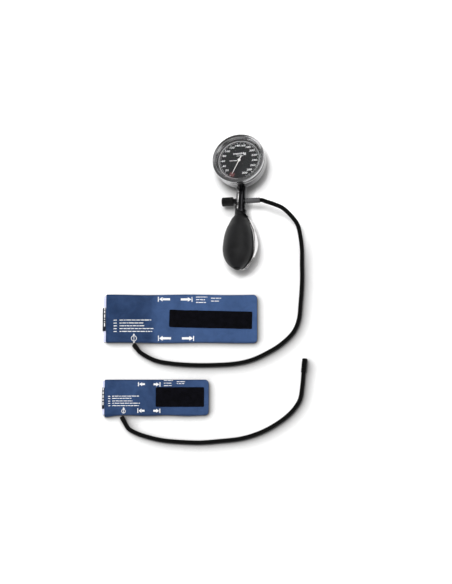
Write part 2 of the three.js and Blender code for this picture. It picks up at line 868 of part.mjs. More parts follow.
// A ribbed sleeve along z that grips a hose end
function connectorOutline(start, end) {
  const ribRun = (end - start - 2) / SLEEVE_RIDGES;
  const ribs = Array.from({ length: SLEEVE_RIDGES }, (_, i) => [
    [SLEEVE_RADIUS, start + 1 + i * ribRun],
    [SLEEVE_RADIUS - SLEEVE_RIDGE_DEPTH, start + 1 + (i + 0.5) * ribRun],
  ]).flat();
  return [
    [SLEEVE_BORE, start],
    [SLEEVE_RADIUS, start],
    ...ribs,
    [SLEEVE_RADIUS, end - 1],
    [SLEEVE_RADIUS - 0.4, end],
    [SLEEVE_BORE, end],
  ];
}

function hoseConnector() {
  return turnedX(connectorOutline(sleeveStart, sleeveEnd), 14);
}

// Bulb nozzle, bulb and its valves
const nozzleFace = spigotEnd + SEAT_GAP;
const nozzleStart = PORT_LEVEL + BOSS_BORE + 1;
const nozzleTubeEnd = nozzleFace + NOZZLE_FLANGE_LENGTH + NOZZLE_LENGTH;
const checkPocket = CHECK_DISC_RADIUS + SEAT_GAP;

function bulbNozzle() {
  const stub = nozzleSeat - SEAT_GAP;
  const flangeEnd = nozzleFace + NOZZLE_FLANGE_LENGTH;
  const pocketStart = nozzleTubeEnd - CHECK_POCKET_DEPTH;
  return turnedY(
    [
      [AIR_BORE, nozzleStart],
      [stub, nozzleStart],
      [stub, nozzleFace],
      [NOZZLE_FLANGE, nozzleFace],
      [NOZZLE_FLANGE, flangeEnd],
      [NOZZLE_RADIUS, flangeEnd],
      [NOZZLE_RADIUS, nozzleTubeEnd - 1],
      [NOZZLE_RADIUS - 0.5, nozzleTubeEnd],
      [checkPocket, nozzleTubeEnd],
      [checkPocket, pocketStart],
      [AIR_BORE, pocketStart],
    ],
    16,
  );
}

function checkValveDisc() {
  const start = nozzleTubeEnd - CHECK_POCKET_DEPTH + SEAT_GAP;
  return turnedY(tubeOutline(0, CHECK_DISC_RADIUS, start, start + CHECK_DISC_THICKNESS), 16);
}

// The bulb's mouth closes over the nozzle's flange
const bulbStart = nozzleFace;
const bulbEnd = bulbStart + BULB_PROFILE.at(-1)[0];
const bulbNeckBore = NOZZLE_RADIUS + SEAT_GAP;

function squeezeBulb() {
  const outer = BULB_PROFILE.map(([d, r]) => [r, bulbStart + d]);
  const neckEnd = nozzleTubeEnd - bulbStart + 1.5;
  const flangeBore = NOZZLE_FLANGE + SEAT_GAP;
  const flangeEnd = nozzleFace + NOZZLE_FLANGE_LENGTH + SEAT_GAP;
  const inner = BULB_PROFILE.filter(
    ([d, r], i) => i % 2 === 0 && d > neckEnd && r > BULB_END_BORE + BULB_WALL + 3,
  )
    .map(([d, r]) => [r - BULB_WALL, bulbStart + d])
    .reverse();
  return turnedY(
    [
      ...outer,
      [BULB_END_BORE, bulbEnd],
      [BULB_END_BORE, bulbEnd - 3.5],
      ...inner,
      [bulbNeckBore, bulbStart + neckEnd - 1.2],
      [bulbNeckBore, flangeEnd],
      [flangeBore, flangeEnd],
      [flangeBore, bulbStart],
    ],
    24,
  );
}

function intakeValveBody() {
  const stub = BULB_END_BORE - SEAT_GAP;
  const face = bulbEnd + SEAT_GAP;
  return turnedY(
    [
      [INTAKE_BORE, face - INTAKE_LENGTH],
      [stub, face - INTAKE_LENGTH],
      [stub, face],
      [INTAKE_FLANGE, face],
      [INTAKE_FLANGE, face + INTAKE_FLANGE_LENGTH - 0.3],
      [INTAKE_FLANGE - 0.3, face + INTAKE_FLANGE_LENGTH],
      [INTAKE_BORE, face + INTAKE_FLANGE_LENGTH],
    ],
    20,
  );
}

function intakeValveFlap() {
  const end = bulbEnd + SEAT_GAP - INTAKE_LENGTH - SEAT_GAP;
  return turnedY(tubeOutline(0, BULB_END_BORE - 0.8, end - FLAP_THICKNESS, end), 16);
}

// Outer radius of the bulb at a distance below the dial centre
function bulbRadius(distance) {
  const d = distance - bulbStart;
  if (d <= 0) return BULB_PROFILE[0][1];
  for (let i = 1; i < BULB_PROFILE.length; i++) {
    const [d0, r0] = BULB_PROFILE[i - 1];
    const [d1, r1] = BULB_PROFILE[i];
    if (d <= d1) return r0 + ((r1 - r0) * (d - d0)) / (d1 - d0);
  }
  return BULB_PROFILE.at(-1)[1];
}

// The chromed spoon behind the bulb: a collar on the handle, cut aslant into a leaf that follows the bulb
function palmSpoon() {
  const { lerp, smoothstep, degToRad } = THREE.MathUtils;
  const rows = 18;
  const columns = 12;
  const collarInner = spigotRadius + SEAT_GAP;
  const collarOuter = collarInner + COLLAR_WALL;
  const leafStart = spigotEnd - SPOON_ROOT;
  const slantEnd = leafStart + SPOON_SLANT;
  const point = (row, column, thick) => {
    const along = (row / rows) ** 1.6; // rows stand closer near the collar
    const across = (2 * column) / columns - 1;
    const distance = leafStart + along * (SPOON_LENGTH + SPOON_ROOT);
    const free = smoothstep(distance, slantEnd, slantEnd + SPOON_SLANT);
    const follow = bulbRadius(distance) + lerp(SPOON_NECK_CLEARANCE, SPOON_CLEARANCE, free);
    const bend = smoothstep(distance, leafStart, leafStart + SPOON_BEND);
    const near = lerp(collarInner + 0.1, follow, bend);
    const right = lerp(185, SPOON_RIGHT, smoothstep(distance, leafStart, slantEnd));
    const left = lerp(-115, SPOON_LEFT, smoothstep(distance, leafStart, leafStart + 0.6 * SPOON_SLANT));
    const closing = Math.sqrt(Math.max(0, 1 - Math.max(0, (along - 0.8) / 0.204) ** 2.2));
    const swell = Math.exp(-(((distance - spigotEnd - SPOON_LIP_AT) / SPOON_LIP_RUN) ** 2));
    const edge = Math.max(0, (Math.abs(across) - 0.6) / 0.4) ** 2 * free;
    const tip = Math.max(0, (along - 0.9) / 0.1) ** 2;
    const rise = (across > 0 ? 1 : 0.54) * SPOON_LIP_SWELL * swell;
    const flare = (SPOON_LIP + rise) * Math.max(edge, tip);
    const r = near + flare + (thick ? SPOON_SHEET : 0);
    const angle = degToRad((right + left) / 2 + (across * closing * (right - left)) / 2);
    return [r * Math.sin(angle), -distance, -r * Math.cos(angle)];
  };
  const leaf = sheetSolid(rows, columns, point);
  const collar = turnedY(tubeOutline(collarInner, collarOuter, NECK_END + SEAT_GAP, spigotEnd), 28);
  return joined(collar, leaf);
}

// A closed solid between two grids of points, the near one and the far one
function sheetSolid(rows, columns, point) {
  const positions = [];
  const index = [];
  const width = columns + 1;
  for (const thick of [false, true]) {
    for (let row = 0; row <= rows; row++) {
      for (let column = 0; column <= columns; column++) positions.push(...point(row, column, thick));
    }
  }
  const near = (row, column) => row * width + column;
  const far = (row, column) => (rows + 1) * width + near(row, column);
  const quad = (a, b, c, d) => index.push(a, b, c, a, c, d);
  for (let row = 0; row < rows; row++) {
    for (let column = 0; column < columns; column++) {
      quad(near(row, column), near(row, column + 1), near(row + 1, column + 1), near(row + 1, column));
      quad(far(row, column), far(row + 1, column), far(row + 1, column + 1), far(row, column + 1));
    }
  }
  for (let row = 0; row < rows; row++) {
    quad(near(row, 0), near(row + 1, 0), far(row + 1, 0), far(row, 0));
    quad(near(row, columns), far(row, columns), far(row + 1, columns), near(row + 1, columns));
  }
  for (let column = 0; column < columns; column++) {
    quad(near(0, column), far(0, column), far(0, column + 1), near(0, column + 1));
    quad(near(rows, column), near(rows, column + 1), far(rows, column + 1), far(rows, column));
  }
  const geometry = new THREE.BufferGeometry()
    .setAttribute("position", new THREE.Float32BufferAttribute(positions, 3))
    .setIndex(index);
  return outwards(geometry);
}

// Turns a closed geometry's faces outwards, whichever way its grid ran
function outwards(geometry) {
  if (solidOf(geometry).volume() > 0) return geometry;
  const index = geometry.index.array;
  for (let i = 0; i < index.length; i += 3) {
    [index[i], index[i + 1]] = [index[i + 1], index[i]];
  }
  return geometry;
}

// A flat layer of a cuff with rounded corners, between two heights that vary over the cuff
function layer({ x, y, length, width, corner, turn = 0 }, columns, rows, bottom, top) {
  const tilt = THREE.MathUtils.degToRad(turn);
  const halfLength = length / 2;
  const ends = Array.from({ length: 4 }, (_, i) => {
    const angle = (i * Math.PI) / 6;
    return halfLength - corner + corner * Math.sin(angle);
  });
  const middle = Array.from({ length: columns - 1 }, (_, i) => {
    const inner = halfLength - corner;
    return -inner + (2 * inner * (i + 1)) / columns;
  });
  const stations = [...ends.toReversed().map((s) => -s), ...middle, ...ends];
  const point = (row, column, high) => {
    const along = stations[column];
    const past = Math.max(0, Math.abs(along) - (halfLength - corner));
    const drop = corner - Math.sqrt(Math.max(0, corner ** 2 - past ** 2));
    const share = (2 * row) / rows - 1;
    const eased = Math.sign(share) * (1 - (1 - Math.abs(share)) ** 1.5);
    const across = eased * (width / 2 - drop);
    const cuffX = x + along * Math.cos(tilt) - across * Math.sin(tilt);
    const cuffY = y + along * Math.sin(tilt) + across * Math.cos(tilt);
    return [cuffX, cuffY, (high ? top : bottom)(cuffX, cuffY)];
  };
  return sheetSolid(rows, stations.length - 1, point);
}

function cuffPieces(prefix, cuff) {
  const { bladder, strip, tab, hose } = cuff;
  const group = new THREE.Group();
  const panelArea = { x: 0, y: 0, length: cuff.length, width: cuff.width, corner: cuff.corner };
  const swell = (x, y, margin) => {
    const s = Math.min(1, Math.abs(x - bladder.x) / (bladder.length / 2 + margin));
    const t = Math.min(1, Math.abs(y - bladder.y) / (bladder.width / 2 + margin));
    return bladder.crown * (1 - s ** 4) * (1 - t ** 4);
  };
  const seam = (x, y) => {
    const edge = Math.min(cuff.length / 2 - Math.abs(x), cuff.width / 2 - Math.abs(y));
    return SEAM_DROP * Math.max(0, 1 - edge / SEAM_WIDTH);
  };
  const backTop = PANEL_THICKNESS;
  const filmBase = backTop + SEAT_GAP;
  const frontBase = filmBase + BLADDER_FILM + SEAT_GAP;
  const frontLow = (x, y) => frontBase + swell(x, y, 2) - seam(x, y);
  const frontHigh = (x, y) => frontLow(x, y) + FRONT_THICKNESS;
  add(group, prefix + "_back_panel", layer(panelArea, 4, 2, () => 0, () => backTop), blueFabric);
  const front = layer(panelArea, FRONT_COLUMNS, FRONT_ROWS, frontLow, frontHigh);
  add(group, prefix + "_front_panel", front, blueFabric);
  const bladderArea = { ...bladder, corner: 8 };
  const filmTop = (x, y) => filmBase + BLADDER_FILM + 0.9 * swell(x, y, 0);
  add(group, prefix + "_bladder", layer(bladderArea, 4, 4, () => filmBase, filmTop), bladderRubber);
  const stripLow = (x, y) => frontHigh(x, y) + SEAT_GAP;
  const stripHigh = (x, y) => stripLow(x, y) + STRIP_THICKNESS;
  const stripArea = { ...strip, corner: 1.5 };
  add(group, prefix + "_hook_strip", layer(stripArea, 8, 3, stripLow, stripHigh), hookBlack);
  const tabArea = {
    x: -cuff.length / 2 - SEAT_GAP - tab.width / 2,
    y: tab.y,
    length: tab.width,
    width: tab.height,
    corner: 0.5,
  };
  const tabBase = backTop - 0.4;
  add(
    group,
    prefix + "_label_tab",
    layer(tabArea, 2, 2, () => tabBase, () => tabBase + TAB_THICKNESS),
    blackPlastic,
  );
  const port = turnedZ(
    [
      [0.9, 0],
      [HOSE_PORT_RADIUS, 0],
      [HOSE_PORT_RADIUS, 2],
      [HOSE_PORT_RADIUS - 0.7, HOSE_PORT_LENGTH],
      [0.9, HOSE_PORT_LENGTH],
    ],
    16,
  )
    .rotateY(Math.PI / 2)
    .rotateZ(THREE.MathUtils.degToRad(hose.heading))
    .translate(...portBase(cuff));
  add(group, prefix + "_hose_port", port, blackRubber);
  group.position.set(cuff.x, cuff.y, 0);
  return group;
}

// Where a cuff's hose port starts, in the cuff's frame, its flange just clear of the panels' edge
function portBase(cuff) {
  const flangeReach = HOSE_PORT_RADIUS * Math.cos(THREE.MathUtils.degToRad(cuff.hose.heading));
  return [cuff.hose.x, -cuff.width / 2 - SEAT_GAP - flangeReach, HOSE_PORT_RADIUS + 0.1];
}

// The end of a cuff's hose port and the direction it points in, in the part's frame
function portEnd(cuff) {
  const turn = THREE.MathUtils.degToRad(cuff.hose.heading);
  const way = new THREE.Vector3(Math.cos(turn), Math.sin(turn), 0);
  const base = new THREE.Vector3(...portBase(cuff)).add(new THREE.Vector3(cuff.x, cuff.y, 0));
  return { at: base.addScaledVector(way, HOSE_PORT_LENGTH + SEAT_GAP), way };
}

// A hose along a curve through its points, as a plain tube
function hose(points) {
  const path = new THREE.CatmullRomCurve3(points, false, "centripetal");
  const section = new THREE.Shape();
  for (let i = 0; i < HOSE_SIDES; i++) {
    const angle = (2 * Math.PI * i) / HOSE_SIDES;
    const [x, y] = [HOSE_RADIUS * Math.cos(angle), HOSE_RADIUS * Math.sin(angle)];
    if (i === 0) section.moveTo(x, y);
    else section.lineTo(x, y);
  }
  section.closePath();
  return new THREE.ExtrudeGeometry(section, {
    steps: Math.round(path.getLength() / HOSE_STEP),
    bevelEnabled: false,
    extrudePath: path,
  });
}

function add(group, name, geometry, material) {
  const mesh = new THREE.Mesh(geometry, material);
  mesh.name = name;
  group.add(mesh);
}

// The hand pump with its gauge
const pump = new THREE.Group();
add(pump, "gauge_housing", gaugeHousing(), chrome);
add(pump, "bezel_ring", bezelRing(), chrome);
add(pump, "gauge_window", gaugeWindow(), clear);
add(pump, "window_gasket", windowGasket(), blackRubber);
add(pump, "dial_spacer_ring", dialSpacerRing(), steel);
add(pump, "dial_plate", dialPlate(), dialBlack);
add(pump, "movement_base_plate", movementBasePlate(), brass);
add(pump, "movement_bridge", movementBridge(), brass);
add(pump, "pressure_capsule_lower", capsuleHalf(capsuleRim, -1), brass);
add(pump, "pressure_capsule_upper", capsuleHalf(upperRim, 1), brass);
add(pump, "capsule_button", capsuleButton(), steel);
add(pump, "pinion_arbor", pinionArbor(), steel);
add(pump, "sector_gear", sectorGear(), brass);
add(pump, "hairspring", hairspring(), steel);
add(pump, "needle", needle(), white);
add(pump, "valve_seat_insert", valveSeatInsert(), brass);
add(pump, "valve_tip_seal", valveTipSeal(), blackRubber);
add(pump, "valve_spindle", valveSpindle(), steel);
add(pump, "valve_gland", valveGland(), chrome);
add(pump, "valve_knob", valveKnob(), blackPlastic);
add(pump, "hose_nipple", hoseNipple(), steel);
add(pump, "hose_connector", hoseConnector(), greyPlastic);
add(pump, "bulb_nozzle", bulbNozzle(), steel);
add(pump, "check_valve_disc", checkValveDisc(), blackRubber);
add(pump, "squeeze_bulb", squeezeBulb(), blackRubber);
add(pump, "intake_valve_body", intakeValveBody(), steel);
add(pump, "intake_valve_flap", intakeValveFlap(), blackRubber);
add(pump, "palm_spoon", palmSpoon(), chrome);
pump.rotation.set(
  -THREE.MathUtils.degToRad(PUMP_PITCH),
  -THREE.MathUtils.degToRad(PUMP_ROLL),
  -THREE.MathUtils.degToRad(PUMP_YAW),
);
pump.position.set(PUMP_X, PUMP_Y, 0);
pump.updateMatrixWorld(true);
pump.position.z = -new THREE.Box3().setFromObject(pump, true).min.z;
pump.updateMatrixWorld(true);

// The hoses leave the connector and the cuffs' ports in line with them
const connectorEnd = new THREE.Vector3(sleeveEnd + SEAT_GAP, -PORT_LEVEL, 0).applyMatrix4(
  pump.matrixWorld,
);
const connectorWay = new THREE.Vector3(1, 0, 0).transformDirection(pump.matrixWorld);
const toPoints = (list) => list.map(([x, y, z]) => new THREE.Vector3(x, y, z));
const ahead = (at, way, distance) => at.clone().addScaledVector(way, distance);

const set = new THREE.Group();
set.add(pump);
set.add(cuffPieces("cuff", LARGE_CUFF));
set.add(cuffPieces("spare_cuff", SMALL_CUFF));
const largePort = portEnd(LARGE_CUFF);
add(
  set,
  "cuff_hose",
  hose([
    connectorEnd,
    ahead(connectorEnd, connectorWay, 3),
    ...toPoints(CUFF_HOSE),
    ahead(largePort.at, largePort.way, 3),
    largePort.at,
  ]),
  blackRubber,
);
const smallPort = portEnd(SMALL_CUFF);
const spareEnd = toPoints(SPARE_HOSE).at(-1);
const spareWay = spareEnd.clone().sub(toPoints(SPARE_HOSE).at(-2)).normalize();
add(
  set,
  "spare_cuff_hose",
  hose([smallPort.at, ahead(smallPort.at, smallPort.way, 3), ...toPoints(SPARE_HOSE)]),
  blackRubber,
);
const spareTurn = new THREE.Quaternion().setFromUnitVectors(new THREE.Vector3(0, 0, 1), spareWay);
const spareConnector = turnedZ(
  connectorOutline(SEAT_GAP, SEAT_GAP + SLEEVE_LENGTH),
  14,
).applyQuaternion(spareTurn);
add(
  set,
  "spare_hose_connector",
  spareConnector.translate(spareEnd.x, spareEnd.y, SLEEVE_RADIUS),
  blackPlastic,
);

export default set;
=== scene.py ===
# %% [markdown]
# # Palm blood pressure set
# A dial gauge on a chromed handle, a rubber squeeze bulb with a palm spoon, and two cuffs with their hoses.
# The CAD part gives the frame: every size and place below is in its coordinates. Lengths are written in
# millimetres and turned to metres when a mesh is built.

import math

import bpy
import numpy as np
from mathutils import Matrix, Vector, noise


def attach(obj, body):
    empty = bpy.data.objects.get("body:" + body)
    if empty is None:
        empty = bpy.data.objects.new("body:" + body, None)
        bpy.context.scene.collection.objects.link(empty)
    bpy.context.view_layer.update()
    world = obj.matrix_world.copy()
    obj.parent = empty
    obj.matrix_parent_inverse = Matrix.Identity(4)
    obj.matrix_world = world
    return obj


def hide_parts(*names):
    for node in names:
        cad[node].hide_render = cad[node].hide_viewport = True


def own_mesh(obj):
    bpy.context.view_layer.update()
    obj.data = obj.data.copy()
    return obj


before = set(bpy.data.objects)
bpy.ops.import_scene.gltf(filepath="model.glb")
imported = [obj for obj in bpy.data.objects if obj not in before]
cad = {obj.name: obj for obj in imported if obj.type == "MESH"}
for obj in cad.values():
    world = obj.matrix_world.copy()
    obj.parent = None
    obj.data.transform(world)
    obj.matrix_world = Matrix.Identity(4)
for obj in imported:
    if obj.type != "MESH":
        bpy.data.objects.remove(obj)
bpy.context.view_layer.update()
scene = bpy.context.scene
MM = 0.001

# %% [markdown]
# ## Camera
# The photograph is a product shot from high above the front edge of the table with a long lens, so the
# verticals hardly converge. 75 degrees of elevation and 150 mm match the cuffs' outlines and the handle.

# %% Place the camera
TARGET = Vector((0.0539, -0.0186, 0))
ELEVATION = math.radians(75)
DISTANCE = 3.202
LENS, SENSOR = 150, 36

camera_data = bpy.data.cameras.new("camera")
camera_data.lens = LENS
camera_data.sensor_width = SENSOR
camera = bpy.data.objects.new("camera", camera_data)
camera.location = TARGET + DISTANCE * Vector((0, -math.cos(ELEVATION), math.sin(ELEVATION)))
camera.rotation_euler = (math.pi / 2 - ELEVATION, 0, 0)
scene.collection.objects.link(camera)
scene.camera = camera
scene.view_settings.view_transform = "Standard"
print("camera at", [round(c, 3) for c in camera.location])

# %% [markdown]
# ## Making meshes
# Most bodies here are an outline turned round an axis or a grid of points with a thickness. Corners of an
# outline are eased first, because the thin bright line on a rounded edge is what makes metal and moulded
# rubber look real.

# %% Mesh helpers
def add_mesh(name, points, faces, place=None, sharp=40):
    """A smooth-shaded object from points in millimetres."""
    mesh = bpy.data.meshes.new(name)
    mesh.from_pydata([tuple(c * MM for c in p) for p in points], [], faces)
    mesh.polygons.foreach_set("use_smooth", [True] * len(mesh.polygons))
    mesh.set_sharp_from_angle(angle=math.radians(sharp))
    mesh.update()
    made = bpy.data.objects.new(name, mesh)
    scene.collection.objects.link(made)
    if place is not None:
        made.matrix_world = place
    return made


def eased(outline, radius=0.3, steps=3):
    """The outline with each corner rounded off."""
    points = [Vector(p) for p in outline]
    softer = []
    for i, here in enumerate(points):
        if i in (0, len(points) - 1):
            softer.append(here)
            continue
        before, after = points[i - 1] - here, points[i + 1] - here
        reach = min(radius, before.length * 0.45, after.length * 0.45)
        if reach < 1e-4 or before.angle(after, 0) > math.radians(170):
            softer.append(here)
            continue
        start, end = here + before.normalized() * reach, here + after.normalized() * reach
        for step in range(steps + 1):
            t = step / steps
            softer.append(start * (1 - t) ** 2 + here * 2 * t * (1 - t) + end * t * t)
    return [tuple(p) for p in softer]


AXIS_PLACES = {
    "z": lambda r, h, a: (r * math.cos(a), r * math.sin(a), h),
    "y": lambda r, h, a: (r * math.sin(a), -h, -r * math.cos(a)),
    "x": lambda r, h, a: (h, r * math.cos(a), r * math.sin(a)),
}


def turned(outline, axis="z", steps=96, offset=(0, 0, 0), closed=True):
    """Points and faces of an outline of (radius, height) turned round an axis."""
    place = AXIS_PLACES[axis]
    points, rings = [], []
    for r, h in outline:
        count = 1 if r < 1e-6 else steps
        rings.append([len(points) + i for i in range(count)])
        for i in range(count):
            spot = place(r, h, 2 * math.pi * i / steps)
            points.append(tuple(c + o for c, o in zip(spot, offset)))
    pairs = list(zip(rings, rings[1:]))
    if closed and len(rings[0]) > 1 and len(rings[-1]) > 1:
        pairs.append((rings[-1], rings[0]))
    faces = []
    for low, high in pairs:
        for i in range(steps):
            j = (i + 1) % steps
            ends = [low[i % len(low)], low[j % len(low)], high[j % len(high)], high[i % len(high)]]
            face = list(dict.fromkeys(ends))
            if len(face) > 2:
                faces.append(face)
    return points, faces


def gridded(rows, columns, point):
    """A closed sheet between the near and the far grid that point(row, column, far) gives."""
    points = [point(r, c, far) for far in (False, True) for r in range(rows + 1) for c in range(columns + 1)]

    def at(row, column, far):
        return far * (rows + 1) * (columns + 1) + row * (columns + 1) + column

    faces = []
    for r in range(rows):
        for c in range(columns):
            corners = ((r, c), (r, c + 1), (r + 1, c + 1), (r + 1, c))
            faces.append([at(*corner, 0) for corner in corners])
            faces.append([at(*corner, 1) for corner in reversed(corners)])
    rim = [((r + 1, 0), (r, 0)) for r in range(rows)]
    rim += [((r, columns), (r + 1, columns)) for r in range(rows)]
    rim += [((0, c), (0, c + 1)) for c in range(columns)]
    rim += [((rows, c + 1), (rows, c)) for c in range(columns)]
    faces += [[at(*b, 0), at(*a, 0), at(*a, 1), at(*b, 1)] for a, b in rim]
    return points, faces


def merged(*bodies):
    """Several (points, faces) as one."""
    points, faces = [], []
    for some_points, some_faces in bodies:
        start = len(points)
        points.extend(some_points)
        faces.extend([[start + i for i in face] for face in some_faces])
    return points, faces


def smooth_step(value, low, high):
    share = min(1, max(0, (value - low) / (high - low)))
    return share * share * (3 - 2 * share)


print("a short tube has", len(turned([(8, 0), (10, 0), (10, 5), (8, 5)])[1]), "faces")

# %% [markdown]
# ## The hand pump's own frame
# The pump lies back on its case and on the spoon, so its dial is turned and tilted on the table. Its
# pieces are built upright, with the dial facing +Z and the handle along -Y, and one matrix lays them down.
# A loose piece on a table looks placed when its angles are odd ones: here 8.5, 13.5 and 3 degrees.

# %% Lay the pump down
PUMP_ORIGIN = Vector((76.0, 151.0, 10.963))
PITCH, ROLL, YAW = (math.radians(degrees) for degrees in (8.5, 13.5, 3))
PUMP = Matrix.Translation(PUMP_ORIGIN * MM)
for angle, axis in ((PITCH, "X"), (ROLL, "Y"), (YAW, "Z")):
    PUMP = PUMP @ Matrix.Rotation(-angle, 4, axis)


def in_frame(x, y, z):
    """A point of the pump in the row frame, in metres."""
    return PUMP @ Vector((x * MM, y * MM, z * MM))


PORT_LEVEL = 50.6
print("dial centre", [round(c, 4) for c in in_frame(0, 0, 20)])

# %% [markdown]
# ## Surfaces
# Nothing here is one flat colour. Eight node groups make what the finishes share. Five are the faint smears
# on metal, the flow marks of moulded rubber, the rings of spun metal, the weave of coated cloth and the
# fibres of hook tape. Three add tones and painted light: a painted dark reflection, a painted highlight and
# painted shade on the handle, painted shade on the bezel's skirt, and the tones of the cuffs' panels with
# painted shade along their welds. Each gives a mask and a height, and each material decides what they do.

# %% Helpers for shader nodes
def link(tree, source, target):
    tree.links.new(source, target)


def noise_node(tree, vector, scale, detail=4, rough=0.5, distortion=0.0):
    node = tree.nodes.new("ShaderNodeTexNoise")
    link(tree, vector, node.inputs["Vector"])
    values = {"Scale": scale, "Detail": detail, "Roughness": rough, "Distortion": distortion}
    for socket, value in values.items():
        node.inputs[socket].default_value = value
    return node.outputs[0]


def math_node(tree, operation, first, second):
    """A Math node on two values, each a number or a socket."""
    node = tree.nodes.new("ShaderNodeMath")
    node.operation = operation
    for socket, value in zip(node.inputs, (first, second)):
        if isinstance(value, (int, float)):
            socket.default_value = value
        else:
            link(tree, value, socket)
    return node.outputs[0]


def times(tree, first, *others):
    for other in others:
        first = math_node(tree, "MULTIPLY", first, other)
    return first


def plus(tree, first, second):
    return math_node(tree, "ADD", first, second)


def minus(tree, first, second):
    return math_node(tree, "SUBTRACT", first, second)


def most(tree, first, second):
    return math_node(tree, "MAXIMUM", first, second)


def range_node(tree, value, low, high, to_low, to_high):
    """The value moved from one range to another and kept within it."""
    node = tree.nodes.new("ShaderNodeMapRange")
    link(tree, value, node.inputs["Value"])
    for socket, number in zip(node.inputs[1:5], (low, high, to_low, to_high)):
        socket.default_value = number
    return node.outputs[0]


def effect_group(name, build):
    """A node group that gives the mask and the height that build makes from the object's coordinates."""
    group = bpy.data.node_groups.new(name, "ShaderNodeTree")
    for socket in ("Mask", "Height"):
        group.interface.new_socket(name=socket, in_out="OUTPUT", socket_type="NodeSocketFloat")
    ends = group.nodes.new("NodeGroupOutput")
    coordinates = group.nodes.new("ShaderNodeTexCoord").outputs["Object"]
    for source, end in zip(build(group, coordinates), ends.inputs):
        link(group, source, end)
    return group


def along_axes(tree, vector):
    """The x, y and z of a vector."""
    node = tree.nodes.new("ShaderNodeSeparateXYZ")
    link(tree, vector, node.inputs["Vector"])
    return node.outputs["X"], node.outputs["Y"], node.outputs["Z"]


EFFECTS = {}
print("node groups so far:", len(EFFECTS))

# %% [markdown]
# ### Metal
# Handled chrome has faint smears, and a spun part has fine rings. The case, the spoon and a line on the neck
# mirror bright things, and the rest of the neck a dark room. Painted light in the metal's colour helps that
# along: a painted dark reflection on the neck, a painted highlight line on its left side, and painted shade
# on the case's lower edge and right side and on the bezel's skirt at the right. Places in a group are in
# metres.

# %% Smears, rings and the painted light of the handle and the bezel
def handled(tree, vector):
    """Broad smears, and their height with fine scratches over it."""
    broad = noise_node(tree, vector, 45, 3, 0.6, 1.5)
    fine = noise_node(tree, vector, 900, 3, 0.6)
    return broad, plus(tree, times(tree, broad, 0.7), fine)


def smears(tree, vector):
    broad, height = handled(tree, vector)
    return range_node(tree, broad, 0.35, 0.7, 0, 1), height


def handle_tone(tree, vector):
    """Smears over painted light: a painted dark reflection on the neck and the parts near it, a painted
    highlight line on the neck's left side, a bright case with painted shade along its lower edge and towards
    its right side, and a bright spoon.
    """
    x, y, z = along_axes(tree, vector)
    # Painted shade: the case is bright, but darker along its lower edge and towards its right side.
    case_with_painted_shade = times(
        tree,
        range_node(tree, y, -0.034, -0.022, 0, 1),
        range_node(tree, z, 0.0058, 0.0072, 0.1, 1),
        range_node(tree, x, -0.004, 0.02, 1, 0.22),
    )
    # The spoon is bright; the neck, the spoon's collar and the gland keep the painted dark reflection.
    on_spoon = range_node(tree, y, -0.073, -0.079, 0, 1)
    # Painted highlight: a bright line along the neck's left side.
    neck_painted_highlight = times(
        tree,
        range_node(tree, x, -0.001, -0.0016, 0, 1),
        range_node(tree, x, -0.0036, -0.003, 0, 1),
        range_node(tree, z, 0.001, 0.003, 0, 1),
    )
    _, height = handled(tree, vector)
    return most(tree, most(tree, case_with_painted_shade, on_spoon), neck_painted_highlight), height


def spun(tree, vector):
    rings = tree.nodes.new("ShaderNodeTexWave")
    rings.wave_type = "RINGS"
    rings.rings_direction = "Z"
    rings.inputs["Scale"].default_value = 190
    rings.inputs["Distortion"].default_value = 0.4
    link(tree, vector, rings.inputs["Vector"])
    ring = rings.outputs["Fac"]
    blend = plus(tree, times(tree, ring, 0.6), times(tree, noise_node(tree, vector, 60, 3, 0.6, 1.5), 0.5))
    return range_node(tree, blend, 0.2, 0.9, 0, 1), ring


def bezel_tone(tree, vector):
    """Spun rings, with painted shade on the skirt on the side that is turned from the floor's light."""
    mask, height = spun(tree, vector)
    x, _, z = along_axes(tree, vector)
    # Painted shade: the skirt darkens towards its right side.
    skirt = range_node(tree, z, 0.0205, 0.0213, 0.82, 0)
    turned_away = range_node(tree, x, -0.002, 0.02, 0, 1)
    kept = minus(tree, 1, times(tree, skirt, turned_away))
    return times(tree, range_node(tree, mask, 0, 1, 0.64, 1), kept), height


for name, build in (("smears", smears), ("handle", handle_tone), ("spun", spun), ("bezel", bezel_tone)):
    EFFECTS[name] = effect_group(name, build)
print("effects:", ", ".join(EFFECTS))

# %% [markdown]
# ### Rubber and plastic
# Moulded rubber and plastic show how they flowed into the mould as broad faint marks, with fine pits over
# them.

# %% Flow marks
def moulding(tree, vector):
    flow = noise_node(tree, vector, 70, 4, 0.55, 0.6)
    pits = noise_node(tree, vector, 1500, 2, 0.5)
    return range_node(tree, flow, 0.3, 0.7, 0, 1), plus(tree, times(tree, flow, 2), pits)


EFFECTS["moulding"] = effect_group("moulding", moulding)
print("effects:", ", ".join(EFFECTS))

# %% [markdown]
# ### Cloth
# Coated cloth shows its threads as two crossed waves, and wear as soft patches. The cuffs' panels are darker
# over a part, and have painted shade along their welds. Hook tape is a felt of tiny cells.

# %% Weave, panels and hooks
def weave(tree, vector):
    threads = []
    for scale, direction in ((560, "X"), (620, "Y")):
        node = tree.nodes.new("ShaderNodeTexWave")
        node.bands_direction = direction
        link(tree, vector, node.inputs["Vector"])
        for socket, value in (("Scale", scale), ("Distortion", 0.6), ("Detail", 1)):
            node.inputs[socket].default_value = value
        threads.append(node.outputs["Fac"])
    patches = noise_node(tree, vector, 55, 6, 0.65, 0.4)
    blotches = noise_node(tree, vector, 17, 3, 0.5, 0.3)
    together = plus(tree, times(tree, patches, 0.6), times(tree, blotches, 0.4))
    return range_node(tree, together, 0.35, 0.65, 0, 1), times(tree, *threads)


